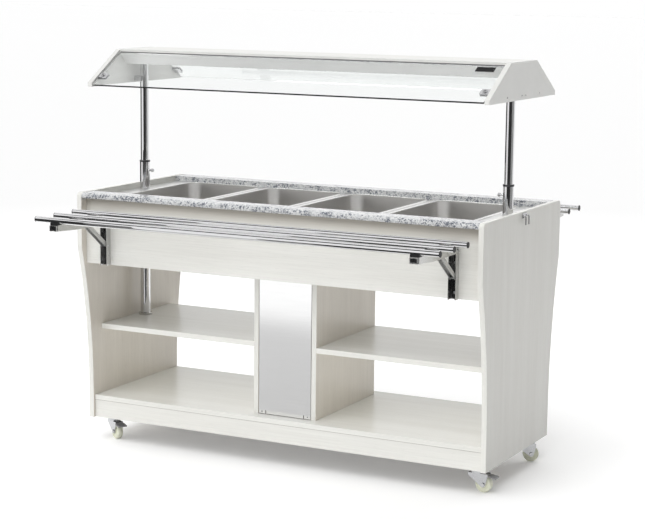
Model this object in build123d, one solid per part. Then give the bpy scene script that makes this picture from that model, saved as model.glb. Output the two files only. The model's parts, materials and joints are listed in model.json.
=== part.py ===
from build123d import *
from math import atan, atan2, cos, degrees, hypot, sin
import os

os.makedirs("parts", exist_ok=True)

# Hot buffet counter. Origin on the floor under its middle, X along its length, Y to the back, Z up.
# All sizes are in millimetres.

# Body of melamine boards
BODY_LENGTH = 1540.0
COUNTER_HEIGHT = 908.0
FLOOR_GAP = 84.0
TOP_DEPTH = 700.0
WAIST_SETBACK = 65.0
BOARD = 18.0
PANEL_CORNER = 14.0
BEND_DROP = 186.0
BEND_RADIUS = 60.0
FOOT_HEIGHT = 113.0
FASCIA_HEIGHT = 64.0
DECK_SETBACK = 8.0
FASCIA_SETBACK = 2.0
SHELF_RISE = 254.0
SHELF_SETBACK = 54.0
BOX_WIDTH = 242.0
APRON_HEIGHT = 232.0
APRON_SETBACK = 29.0
BATTEN = 18.0
LEDGER_HEIGHT = 30.0
CASTER_BATTEN = 85.0

# Stone rails
STONE_THICK = 20.0
STONE_WIDTH = 71.0
STONE_DROP = 1.0
STONE_SETBACK = 1.0
STONE_NOSE = 9.0

# Sheet steel top, tank, bars and gastronorm pans
SHEET = 2.0
WELL_MARGIN = 86.0
WELL_SETBACK = 22.0
PAN_COUNT = 4
PAN_RIM_GAP = 15.0
PAN_RIM_REST = 9.0
PAN_RIM_CORNER = 24.0
PAN_SIDE_RIM = 9.5
PAN_END_RIM = 12.0
PAN_CORNER = 44.0
PAN_DROP = 150.0
PAN_WALL = 1.5
PAN_TAPER_ANGLE = 3.0
PAN_FLOOR_ROUND = 16.0
BAR_WIDTH = 28.0
BAR_HEIGHT = 20.0
BAR_TAB = 8.0
TANK_DROP = 218.0
TANK_CORNER = 20.0

# Heating element and drain
HEATER_RADIUS = 4.0
HEATER_RISE = 14.0
HEATER_STRAIGHT = 3.0
HEATER_END_GAP = 66.0
HEATER_SPREAD = 80.0
HEATER_TAIL_X = 40.0
HEATER_TAIL = 25.0
HEATER_GLAND = 9.0
HEATER_GLAND_HEIGHT = 8.0
HEATER_CLIP = 8.0
DRAIN_Y = 120.0
DRAIN_RISE = 81.0
DRAIN_PIPE_RADIUS = 13.5
DRAIN_BORE_RADIUS = 11.0
DRAIN_FLANGE_RADIUS = 22.0
DRAIN_FLANGE = 3.0
DRAIN_BEND = 35.0
DRAIN_REACH = 13.0
VALVE_RADIUS = 17.0
VALVE_LENGTH = 38.0
VALVE_MOUTH = 15.0
VALVE_BOSS_RADIUS = 8.0
VALVE_BOSS = 24.0
LEVER_HUB_RADIUS = 9.0
LEVER_LENGTH = 75.0
LEVER_WIDTH = 14.0
LEVER_THICK = 5.0

# Panels and controls of the centre box
PANEL_RECESS = 1.0
PANEL_PLAY = 2.0
PANEL_NOTCH_X = 74.0
PANEL_NOTCH = 3.0
PANEL_NOTCH_HEIGHT = 12.0
KNOB_X = 45.0
KNOB_RADIUS = 20.0
KNOB_LENGTH = 18.0
KNOB_GRIP = 8.0
KNOB_TAPER = 3.0
CONTROL_DROP = 112.0
SPINDLE_RADIUS = 3.0
SPINDLE_LENGTH = 14.0
THERMOSTAT = 46.0
THERMOSTAT_DEPTH = 36.0
SWITCH_PLACES = (-15.0, -52.0)
SWITCH_LENGTH = 24.0
SWITCH_HEIGHT = 34.0
SWITCH_BEZEL = 3.0
SWITCH_LIP = 2.0
SWITCH_WALL = 2.0
SWITCH_DEPTH = 27.0
ROCKER_PIVOT_DEPTH = 3.0
ROCKER_HALF = 11.3
ROCKER_BACK = 8.0
ROCKER_CROWN = 7.5
ROCKER_DIP = 2.0
ROCKER_TILT_ANGLE = 10.0
ROCKER_PIN_RADIUS = 2.0
ROCKER_PIN = 1.5
PILOT_X = -33.5
PILOT_RISE = 42.0
PILOT_RADIUS = 5.0
PILOT_BEZEL_RADIUS = 7.0
PILOT_BEZEL = 2.0
PILOT_BODY = 16.0
PILOT_LENS = 5.0
GLAND_X = -60.0
GLAND_RISE = 46.0
GLAND_RADIUS = 12.0
GLAND_NECK_RADIUS = 10.0
GLAND_BORE_RADIUS = 5.0
GLAND_LENGTH = 14.0
GLAND_NUT = 6.0

# Canopy posts in their sleeves
POST_INSET = 40.0
POST_RADIUS = 15.0
POST_WALL = 2.0
POST_TAIL_RISE = 177.0
SLEEVE_RADIUS = 18.0
SLEEVE_WALL = 2.0
SLEEVE_RISE = 99.0
COLLAR_HEIGHT = 6.0
COLLAR_SPIGOT = 20.0
COLLAR_LIP = 1.0
FOOT_RING_RADIUS = 25.0
FOOT_RING_HEIGHT = 8.0
CLAMP_DROP = 30.0
CLAMP_BOSS_RADIUS = 5.5
CLAMP_BOSS = 4.0
CLAMP_SCREW_RADIUS = 3.0
CLAMP_HEAD_RADIUS = 6.0
CLAMP_HEAD = 8.0
CLAMP_NECK_RADIUS = 3.5
CLAMP_NECK = 6.0
CLAMP_FLAT_COUNT = 8

# Canopy
CANOPY_INSET = 13.0
CANOPY_RISE = 493.0
CANOPY_DROP = 125.0
CANOPY_SETBACK = 53.0
CANOPY_TOP_DEPTH = 232.0
CANOPY_EDGE = 15.0
CANOPY_BOARD = 16.0
CANOPY_BOARD_DEPTH = 236.0
HOUSING_HEIGHT = 40.0
HOUSING_FLOOR = 148.0
HOUSING_LIP = 12.0
LAMP_WINDOW_GAP = 90.0
LAMP_WINDOW_DEPTH = 100.0
LAMP_END_GAP = 18.0
LAMP_RADIUS = 6.0
LAMP_CAP_RADIUS = 8.0
LAMP_CAP = 16.0
LAMP_DROP = 22.0
LAMP_HOLDER = 14.0
LAMP_HOLDER_DEPTH = 26.0
LAMP_HOLDER_DROP = 32.0
GLASS_THICK = 6.0
GLASS_SETBACK = 2.0
GLASS_RISE = 8.0
GLASS_TOP_GAP = 1.0
GLASS_END_GAP = 3.0
CLIP_LENGTH = 33.0
CLIP_WIDTH = 26.0
CLIP_PLATE = 4.0
CLIP_RISE = 54.0
BRACKET_WIDTH = 50.0
BRACKET_HEIGHT = 18.0
BRACKET_RISE = 14.0

# Folding tray slides
TUBE_RADIUS = 10.0
TUBE_WALL = 1.5
TUBE_END_GAP = 10.0
TUBE_COUNT = 3
TUBE_PITCH = 108.0
TUBE_GAP = 62.0
TUBE_DROP = 61.0
TUBE_CAP = 2.0
TUBE_CAP_PLUG = 12.0
SADDLE_SEAT = 4.0
SADDLE_CHEEK = 4.0
SADDLE_DEPTH = 22.0
RAIL_INSET = 89.0
RAIL_LENGTH = 26.0
RAIL_DEPTH = 26.0
RAIL_TOP_ROUND = 10.5
ARM_LENGTH = 32.0
ARM_BELOW = 13.0
ARM_ABOVE = 14.0
ARM_OVERHANG = 12.0
ARM_TAPER = 110.0
ARM_TIP = 20.0
ARM_CAP = 6.0
ARM_CAP_PLUG = 10.0
ARM_CAP_GROOVE = 6.0
ARM_CAP_GROOVE_DEPTH = 4.0
ARM_PIVOT_OUT = 15.5
ARM_PIN_RADIUS = 4.0
ARM_PIN_HEAD_RADIUS = 6.0
ARM_PIN_HEAD = 2.5
STRUT_LENGTH = 20.0
STRUT_HEIGHT = 14.0
STRUT_REACH = 128.0
STRUT_DROP = 96.0
STRUT_TIP = 10.0
STRUT_ABOVE = 2.0
STRUT_PIN_RADIUS = 3.0
STRUT_PIN_STAND = 0.6

# Side hooks
HOOK_WIDTH = 40.0
HOOK_HEIGHT = 16.0
HOOK_PLATE = 2.0
HOOK_DROP = 5.0
HOOK_ROD_RADIUS = 2.5
HOOK_SPREAD = 28.0
HOOK_REACH = 10.0
HOOK_HANG = 30.0
HOOK_BEND = 5.0

# Swivel casters
CASTER_INSET = 40.0
CASTER_SETBACK = 73.0
CASTER_TRAIL = 25.0
PLATE_LENGTH = 70.0
PLATE_WIDTH = 60.0
PLATE_THICK = 3.0
PLATE_CORNER = 6.0
RACE_RADIUS = 22.0
RACE_HEIGHT = 5.0
KINGPIN_RADIUS = 5.0
KINGPIN_HEAD_RADIUS = 9.0
KINGPIN_HEAD = 3.0
FORK_CUP = 12.0
FORK_CROWN = 4.0
FORK_PLATE = 2.5
FORK_BACK = 27.0
FORK_NOSE = 42.0
FORK_EYE = 9.0
WHEEL_RADIUS = 27.5
WHEEL_WIDTH = 22.0
WHEEL_ROUND = 3.0
WHEEL_HUB_RADIUS = 12.0
WHEEL_DISH = 3.0
WHEEL_RIM_RADIUS = 22.0
WHEEL_PLAY = 1.5
AXLE_RADIUS = 4.0
AXLE_HEAD_RADIUS = 6.5
AXLE_HEAD = 4.0
PEDAL_PIN_X = 36.0
PEDAL_PIN_DROP = 4.5
PEDAL_PIN_RADIUS = 2.0
PEDAL_HUB_RADIUS = 3.5
PEDAL_REACH = 72.0
PEDAL_THICK = 4.0
PEDAL_WIDTH = 34.0
PEDAL_FALL = 6.0
CASTER_TURNS = {"front_left": -32.0, "front_right": 0.0, "rear_left": 150.0, "rear_right": 30.0}

# Fits
PLAY = 0.3
PIN_PLAY = 0.05
SCREW_GAP = 0.3

# Levels and faces that follow from the sizes above
HALF = BODY_LENGTH / 2
INNER = HALF - BOARD
TOP_HALF = TOP_DEPTH / 2
BASE_HALF = TOP_HALF - WAIST_SETBACK
DECK_TOP = FLOOR_GAP + FASCIA_HEIGHT + BOARD
DECK_HALF = BASE_HALF - DECK_SETBACK
SHELF_TOP = DECK_TOP + SHELF_RISE
SHELF_HALF = BASE_HALF - SHELF_SETBACK
BOX_HALF = BOX_WIDTH / 2
BOX_INNER = BOX_HALF - BOARD
TRIM_Z = COUNTER_HEIGHT - STONE_DROP - STONE_THICK
APRON_FACE = TOP_HALF - APRON_SETBACK
APRON_BACK = APRON_FACE - BOARD
APRON_BOTTOM = TRIM_Z - APRON_HEIGHT
STONE_FRONT = TOP_HALF - STONE_SETBACK
STONE_BACK = STONE_FRONT - STONE_WIDTH
FLANGE_Z = TRIM_Z - SHEET
TOP_Z = TRIM_Z + SHEET
WELL_HALF = INNER - WELL_MARGIN
TANK_HALF = STONE_BACK - WELL_SETBACK
TANK_OPENING = 2 * TANK_HALF
TANK_Z = TRIM_Z - TANK_DROP
TANK_FLOOR = TANK_Z + SHEET
PAN_PITCH = (2 * WELL_HALF + BAR_WIDTH) / PAN_COUNT
PAN_RIM_LENGTH = PAN_PITCH - PAN_RIM_GAP
PAN_RIM_DEPTH = TANK_OPENING + 2 * PAN_RIM_REST
PAN_LENGTH = PAN_RIM_LENGTH - 2 * PAN_SIDE_RIM
PAN_DEPTH = PAN_RIM_DEPTH - 2 * PAN_END_RIM
HEATER_REACH = WELL_HALF - HEATER_END_GAP
HEATER_CLIP_X = HEATER_REACH / 2
DRAIN_Z = DECK_TOP + DRAIN_RISE
PANEL_FACE = SHELF_HALF - PANEL_RECESS
PANEL_BACK = PANEL_FACE - SHEET
CONTROL_Z = TANK_Z - CONTROL_DROP
VALVE_Y = PANEL_FACE + DRAIN_REACH
POST_X = INNER - POST_INSET
POST_TAIL = SHELF_TOP + POST_TAIL_RISE
SLEEVE_TOP = TOP_Z + SLEEVE_RISE
SLEEVE_BORE = SLEEVE_RADIUS - SLEEVE_WALL
CLAMP_Z = SLEEVE_TOP - CLAMP_DROP
CANOPY_HALF = HALF - CANOPY_INSET
CANOPY_INNER = CANOPY_HALF - BOARD
CANOPY_DEPTH = TOP_DEPTH - 2 * CANOPY_SETBACK
CANOPY_HEIGHT = COUNTER_HEIGHT + CANOPY_RISE
CANOPY_Z = CANOPY_HEIGHT - CANOPY_DROP
CEILING_Z = CANOPY_HEIGHT - CANOPY_BOARD
HOUSING_Z = CEILING_Z - HOUSING_HEIGHT
LAMP_WINDOW_LENGTH = PAN_PITCH - LAMP_WINDOW_GAP
LAMP_LENGTH = LAMP_WINDOW_LENGTH - 2 * LAMP_END_GAP
GLASS_FRONT = CANOPY_DEPTH / 2 - GLASS_SETBACK
GLASS_SLOPE = atan2(CANOPY_DROP - CANOPY_EDGE, (CANOPY_DEPTH - CANOPY_TOP_DEPTH) / 2)
GLASS_TOP = CANOPY_BOARD_DEPTH / 2 + GLASS_TOP_GAP + GLASS_THICK * sin(GLASS_SLOPE)
GLASS_WIDTH = (GLASS_FRONT - GLASS_TOP) / cos(GLASS_SLOPE)
TUBE_HALF = INNER - TUBE_END_GAP
TUBE_FIRST = TOP_HALF + TUBE_GAP
TUBE_HEIGHT = COUNTER_HEIGHT - TUBE_DROP
RAIL_X = INNER - RAIL_INSET
ARM_TOP = TUBE_HEIGHT - TUBE_RADIUS - SADDLE_SEAT
PIVOT_Y = APRON_FACE + ARM_PIVOT_OUT
PIVOT_Z = ARM_TOP - ARM_ABOVE
STRUT_Z = PIVOT_Z + STRUT_ABOVE - STRUT_DROP
ARM_END = TUBE_FIRST + (TUBE_COUNT - 1) * TUBE_PITCH + ARM_OVERHANG
RAIL_FRONT = APRON_FACE + RAIL_DEPTH
CASTER_X = INNER - CASTER_INSET
CASTER_Y = BASE_HALF - CASTER_SETBACK
AXLE_Z = WHEEL_RADIUS
PLATE_Z = FLOOR_GAP - PLATE_THICK
RACE_Z = PLATE_Z - RACE_HEIGHT
CUP_TOP = RACE_Z - PLAY
CROWN_TOP = CUP_TOP - FORK_CUP
CROWN_Z = CROWN_TOP - FORK_CROWN
KINGPIN_Z = CROWN_Z - PLAY - KINGPIN_HEAD
LEG_INNER = WHEEL_WIDTH / 2 + WHEEL_PLAY
LEG_OUTER = LEG_INNER + FORK_PLATE
PEDAL_PIN_Z = CROWN_TOP - PEDAL_PIN_DROP

LEFT, RIGHT = -1, 1
FRONT, REAR = -1, 1
SIDES = {"left": LEFT, "right": RIGHT}
FACES = {"front": FRONT, "rear": REAR}


def save(node, *shapes):
    """Writes the solids of one node to its own file."""
    solids = [solid for shape in shapes for solid in shape.solids()]
    whole = solids[0] if len(solids) == 1 else Compound(children=solids)
    export_step(whole, f"parts/{node}.step")


def block(x, y, z):
    """A block between two limits, in either order, on each axis."""
    spans = [sorted(limits) for limits in (x, y, z)]
    middle = [(low + high) / 2 for low, high in spans]
    return Pos(*middle) * Box(*(high - low for low, high in spans))


def rod(start, end, radius):
    """A round bar between two points."""
    run = Vector(*end) - Vector(*start)
    base = Plane(origin=start, z_dir=run)
    return base * Cylinder(radius, run.length, align=(Align.CENTER, Align.CENTER, Align.MIN))


def prism(outline, x_low, x_high):
    """An outline of Y and Z carried along X."""
    return extrude(Plane.YZ.offset(x_low) * outline, amount=x_high - x_low)


def slab(outline, z_low, z_high):
    """An outline of X and Y carried along Z."""
    return extrude(Plane.XY.offset(z_low) * outline, amount=z_high - z_low)


def turned(points, axis):
    """A closed outline of radius and height, turned about the given axis plane's Z."""
    outline = make_face(Polyline(*points, close=True))
    return axis * revolve(Plane.XZ * outline, Axis.Z)


def bent_rod(points, bend, radius):
    """A round bar along straight runs joined by arcs."""
    path = FilletPolyline(*points, radius=bend)
    return sweep(Plane(origin=path @ 0, z_dir=path % 0) * Circle(radius), path=path)


def both(shape, plane):
    """A shape and its mirror image."""
    return [shape, mirror(shape, about=plane)]


def facing(shape, side):
    """A front piece, or its mirror image for the rear."""
    return shape if side == FRONT else mirror(shape, about=Plane.XZ)


# Body boards

def side_panel(side):
    """Shaped end board: straight top, tight bend, long hollow curve and a straight foot."""
    bend_z = COUNTER_HEIGHT - BEND_DROP
    foot_z = FLOOR_GAP + FOOT_HEIGHT
    turn = 2 * atan((TOP_HALF - BASE_HALF) / (bend_z - foot_z))
    hollow = (bend_z - foot_z) / sin(turn) - BEND_RADIUS

    def on_bend(angle):
        return (TOP_HALF - BEND_RADIUS + BEND_RADIUS * cos(angle), bend_z - BEND_RADIUS * sin(angle))

    def on_hollow(angle):
        return (BASE_HALF + hollow - hollow * cos(angle), foot_z + hollow * sin(angle))

    edge = [
        Line((0, COUNTER_HEIGHT), (TOP_HALF, COUNTER_HEIGHT)),
        Line((TOP_HALF, COUNTER_HEIGHT), (TOP_HALF, bend_z)),
        ThreePointArc(on_bend(0), on_bend(turn / 2), on_bend(turn)),
        ThreePointArc(on_hollow(turn), on_hollow(turn / 2), on_hollow(0)),
        Line((BASE_HALF, foot_z), (BASE_HALF, FLOOR_GAP)),
        Line((BASE_HALF, FLOOR_GAP), (0, FLOOR_GAP)),
        Line((0, FLOOR_GAP), (0, COUNTER_HEIGHT)),
    ]
    half = make_face(edge)
    corner = half.vertices().sort_by_distance((TOP_HALF, COUNTER_HEIGHT))[0]
    half = fillet(corner, PANEL_CORNER)
    outline = half + mirror(half, about=Plane.YZ)
    return prism(outline, *sorted((side * INNER, side * HALF)))


def make_body():
    """Boards of the body, and the battens that carry its fittings."""
    for name, side in SIDES.items():
        save(f"side_panel_{name}", side_panel(side))

    deck = block((-INNER, INNER), (-DECK_HALF, DECK_HALF), (DECK_TOP - BOARD, DECK_TOP))
    save("bottom_deck", deck)

    fascia_face = DECK_HALF - FASCIA_SETBACK
    fascia_back = fascia_face - BOARD
    fascia = block((-INNER, INNER), (-fascia_face, -fascia_back), (FLOOR_GAP, DECK_TOP - BOARD))
    save("fascias", *both(fascia, Plane.XZ))

    shelf = block((BOX_HALF, INNER), (-SHELF_HALF, SHELF_HALF), (SHELF_TOP - BOARD, SHELF_TOP))
    save("shelves", *both(shelf, Plane.YZ))

    partition = block((BOX_INNER, BOX_HALF), (-SHELF_HALF, SHELF_HALF), (DECK_TOP, TANK_Z))
    save("partitions", *both(partition, Plane.YZ))

    apron = block((-INNER, INNER), (-APRON_FACE, -APRON_BACK), (APRON_BOTTOM, TRIM_Z))
    save("aprons", *both(apron, Plane.XZ))

    ledger_z = (FLANGE_Z - LEDGER_HEIGHT, FLANGE_Z)
    ledger_back = APRON_BACK - BATTEN
    long_ledger = block((-INNER, INNER), (-APRON_BACK, -ledger_back), ledger_z)
    end_ledger = block((INNER - BATTEN, INNER), (-ledger_back, ledger_back), ledger_z)
    caster_batten = block(
        (INNER - CASTER_BATTEN, INNER), (-fascia_back, fascia_back), (FLOOR_GAP, DECK_TOP - BOARD)
    )
    cleats = []
    for low in (DECK_TOP, TANK_Z - BATTEN):
        cleat = block((-BOX_INNER, BOX_INNER), (-PANEL_BACK, BATTEN - PANEL_BACK), (low, low + BATTEN))
        cleats += both(cleat, Plane.XZ)
    battens = both(long_ledger, Plane.XZ) + both(end_ledger, Plane.YZ) + both(caster_batten, Plane.YZ)
    save("carcass_battens", *battens, *cleats)


# Stone, deck, tank, bars and pans

def make_stone():
    """Stone rails with a rounded nose, one along each long side."""
    rail = block((PLAY - INNER, INNER - PLAY), (-STONE_FRONT, -STONE_BACK), (TRIM_Z, TRIM_Z + STONE_THICK))
    nose = rail.edges().filter_by(Axis.X).group_by(Axis.Y)[0]
    save("granite_rails", *both(fillet(nose, STONE_NOSE), Plane.XZ))


def well_opening():
    """Outline of the opening over the tank."""
    return RectangleRounded(2 * WELL_HALF, TANK_OPENING, TANK_CORNER)


def bar_places():
    """Middles of the bars between neighbouring pans."""
    return [(i - PAN_COUNT / 2) * PAN_PITCH for i in range(1, PAN_COUNT)]


def make_top():
    """Steel deck, tank welded from flat sheets, and the loose bars between the pans."""
    sleeve_hole, tail_hole = Circle(SLEEVE_RADIUS + PLAY), Circle(HEATER_RADIUS + PLAY)
    sleeve_holes = [Pos(side * POST_X, 0) * sleeve_hole for side in SIDES.values()]

    deck = Rectangle(2 * (INNER - PLAY), 2 * (STONE_BACK - PLAY)) - well_opening()
    notch = Rectangle(BAR_WIDTH + 2 * PLAY, TANK_OPENING + 2 * (BAR_TAB + PLAY))
    deck -= [Pos(x, 0) * notch for x in bar_places()]
    deck -= sleeve_holes
    save("steel_deck", slab(deck, TRIM_Z, TOP_Z))

    shell_x, shell_y = WELL_HALF + SHEET, TANK_HALF + SHEET
    floor = Rectangle(2 * shell_x, 2 * shell_y) - Pos(0, DRAIN_Y) * Circle(DRAIN_BORE_RADIUS)
    floor -= [Pos(side * HEATER_TAIL_X, -HEATER_SPREAD) * tail_hole for side in SIDES.values()]
    long_wall = block((-shell_x, shell_x), (TANK_HALF, shell_y), (TANK_FLOOR, FLANGE_Z))
    end_wall = block((WELL_HALF, shell_x), (-TANK_HALF, TANK_HALF), (TANK_FLOOR, FLANGE_Z))
    long_flange = block((PLAY - INNER, INNER - PLAY), (TANK_HALF, APRON_BACK - PLAY), (FLANGE_Z, TRIM_Z))
    end_flange = block((WELL_HALF, INNER - PLAY), (-TANK_HALF, TANK_HALF), (FLANGE_Z, TRIM_Z))
    end_flange -= rod((POST_X, 0, FLANGE_Z), (POST_X, 0, TRIM_Z), SLEEVE_RADIUS + PLAY)
    tank = [slab(floor, TANK_Z, TANK_FLOOR)]
    for long_sheet, end_sheet in ((long_wall, end_wall), (long_flange, end_flange)):
        tank += both(long_sheet, Plane.XZ)
        tank += both(end_sheet, Plane.YZ)
    save("bain_marie_tank", *tank)

    bars = []
    for x in bar_places():
        low, high = x - BAR_WIDTH / 2, x + BAR_WIDTH / 2
        web_end, leg_end = TANK_HALF + BAR_TAB, TANK_HALF - PLAY
        bar = block((low, high), (-web_end, web_end), (TRIM_Z, TOP_Z))
        bar += block((low, high), (-leg_end, leg_end), (TOP_Z - BAR_HEIGHT, TRIM_Z))
        bar -= block((low + SHEET, high - SHEET), (-leg_end, leg_end), (TOP_Z - BAR_HEIGHT, TRIM_Z))
        bars.append(bar)
    save("divider_bars", *bars)


def make_pan():
    """One gastronorm pan: flat rim, drawn body with tapered walls and a rounded floor."""
    inner_length, inner_depth = PAN_LENGTH - 2 * PAN_WALL, PAN_DEPTH - 2 * PAN_WALL
    inner_corner = PAN_CORNER - PAN_WALL
    rim = RectangleRounded(PAN_RIM_LENGTH, PAN_RIM_DEPTH, PAN_RIM_CORNER)
    mouth = RectangleRounded(inner_length, inner_depth, inner_corner)

    def bowl(outline, drop, floor_round):
        body = extrude(outline, amount=-drop, taper=PAN_TAPER_ANGLE)
        return fillet(body.faces().sort_by(Axis.Z)[0].edges(), floor_round)

    outside = bowl(RectangleRounded(PAN_LENGTH, PAN_DEPTH, PAN_CORNER), PAN_DROP, PAN_FLOOR_ROUND)
    inside = bowl(mouth, PAN_DROP - PAN_WALL, PAN_FLOOR_ROUND - PAN_WALL)
    pan = extrude(rim - mouth, amount=SHEET) + (outside - inside)
    return Pos(0, 0, TOP_Z) * pan


def make_pans():
    """Pans in a row, each lifted out by itself."""
    pan = make_pan()
    for i in range(PAN_COUNT):
        save(f"gn_pan_{i + 1}", Pos((i + 0.5 - PAN_COUNT / 2) * PAN_PITCH, 0, 0) * pan)


def make_heater():
    """Tubular element on clips, its two tails sealed through the tank's floor."""
    level = TANK_FLOOR + HEATER_RISE
    low = TANK_Z - HEATER_TAIL
    points = [
        (HEATER_TAIL_X, -HEATER_SPREAD, low),
        (HEATER_TAIL_X, -HEATER_SPREAD, level),
        (HEATER_REACH, -HEATER_SPREAD, level),
        (HEATER_REACH, HEATER_SPREAD, level),
        (-HEATER_REACH, HEATER_SPREAD, level),
        (-HEATER_REACH, -HEATER_SPREAD, level),
        (-HEATER_TAIL_X, -HEATER_SPREAD, level),
        (-HEATER_TAIL_X, -HEATER_SPREAD, low),
    ]
    heater = bent_rod(points, HEATER_RISE - HEATER_STRAIGHT, HEATER_RADIUS)
    for side in SIDES.values():
        tail = (side * HEATER_TAIL_X, -HEATER_SPREAD)
        heater += rod((*tail, TANK_Z - HEATER_GLAND_HEIGHT), (*tail, TANK_Z), HEATER_GLAND)
        for face in FACES.values():
            clip_x, clip_y = side * HEATER_CLIP_X, face * HEATER_SPREAD
            half = HEATER_CLIP / 2
            heater += block(
                (clip_x - half, clip_x + half), (clip_y - half, clip_y + half), (TANK_FLOOR, level)
            )
    save("heating_element", heater)


def make_drain():
    """Drain pipe down through the centre box, the cock outside its rear panel, and its lever."""
    top = Vector(0, DRAIN_Y, TANK_Z)
    points = [tuple(top), (0, DRAIN_Y, DRAIN_Z), (0, VALVE_Y, DRAIN_Z)]
    pipe = bent_rod(points, DRAIN_BEND, DRAIN_PIPE_RADIUS)
    pipe += rod((0, DRAIN_Y, TANK_Z - DRAIN_FLANGE), tuple(top), DRAIN_FLANGE_RADIUS)
    pipe -= bent_rod(points, DRAIN_BEND, DRAIN_BORE_RADIUS)
    end = VALVE_Y + VALVE_LENGTH
    middle = (VALVE_Y + end) / 2
    boss_top = DRAIN_Z + VALVE_BOSS
    valve = rod((0, VALVE_Y, DRAIN_Z), (0, end, DRAIN_Z), VALVE_RADIUS)
    valve += rod((0, middle, DRAIN_Z), (0, middle, boss_top), VALVE_BOSS_RADIUS)
    valve -= rod((0, end - VALVE_MOUTH, DRAIN_Z), (0, end, DRAIN_Z), DRAIN_BORE_RADIUS)
    save("drain_valve", pipe, valve)

    lever_z = boss_top + PLAY
    plate = Circle(LEVER_HUB_RADIUS)
    plate += Pos(LEVER_LENGTH / 2, 0) * SlotOverall(LEVER_LENGTH + LEVER_WIDTH, LEVER_WIDTH)
    save("drain_lever", Pos(0, middle, 0) * slab(plate, lever_z, lever_z + LEVER_THICK))


# Centre box panels and controls

def panel_sheet():
    """Steel sheet that closes one side of the centre box, drawn at the rear."""
    reach = BOX_INNER - PANEL_PLAY
    return block((-reach, reach), (PANEL_BACK, PANEL_FACE), (DECK_TOP + PANEL_PLAY, TANK_Z - PANEL_PLAY))


def switch_body(x):
    """Frame and body of a rocker switch, through a cut-out of the rear panel."""
    half, tall = SWITCH_LENGTH / 2, SWITCH_HEIGHT / 2
    front = PANEL_FACE + SWITCH_BEZEL
    back = PANEL_FACE - SWITCH_DEPTH
    body = block((x - half, x + half), (PANEL_FACE, front), (CONTROL_Z - tall, CONTROL_Z + tall))
    half, tall = half - SWITCH_LIP, tall - SWITCH_LIP
    body += block((x - half, x + half), (back, PANEL_FACE), (CONTROL_Z - tall, CONTROL_Z + tall))
    half, tall = half - SWITCH_WALL, tall - SWITCH_WALL
    body -= block(
        (x - half, x + half), (back + SWITCH_WALL, front), (CONTROL_Z - tall, CONTROL_Z + tall)
    )
    reach = half + ROCKER_PIN + PLAY / 2
    pivot_y = PANEL_FACE - ROCKER_PIVOT_DEPTH
    pin_hole = ROCKER_PIN_RADIUS + PIN_PLAY
    return body - rod((x - reach, pivot_y, CONTROL_Z), (x + reach, pivot_y, CONTROL_Z), pin_hole)


def rocker(x):
    """Rocker with a dished face on two round pins, resting at one end of its tilt."""
    pivot_y = PANEL_FACE - ROCKER_PIVOT_DEPTH
    wall = SWITCH_LENGTH / 2 - SWITCH_LIP - SWITCH_WALL
    half = wall - PLAY
    reach = wall + ROCKER_PIN
    outline = Polygon(
        (-ROCKER_BACK, -ROCKER_HALF),
        (ROCKER_CROWN, -ROCKER_HALF),
        (ROCKER_CROWN - ROCKER_DIP, 0),
        (ROCKER_CROWN, ROCKER_HALF),
        (-ROCKER_BACK, ROCKER_HALF),
        align=None,
    )
    body = prism(outline, -half, half) + rod((-reach, 0, 0), (reach, 0, 0), ROCKER_PIN_RADIUS)
    return Pos(x, pivot_y, CONTROL_Z) * Rot(-ROCKER_TILT_ANGLE, 0, 0) * body


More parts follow.
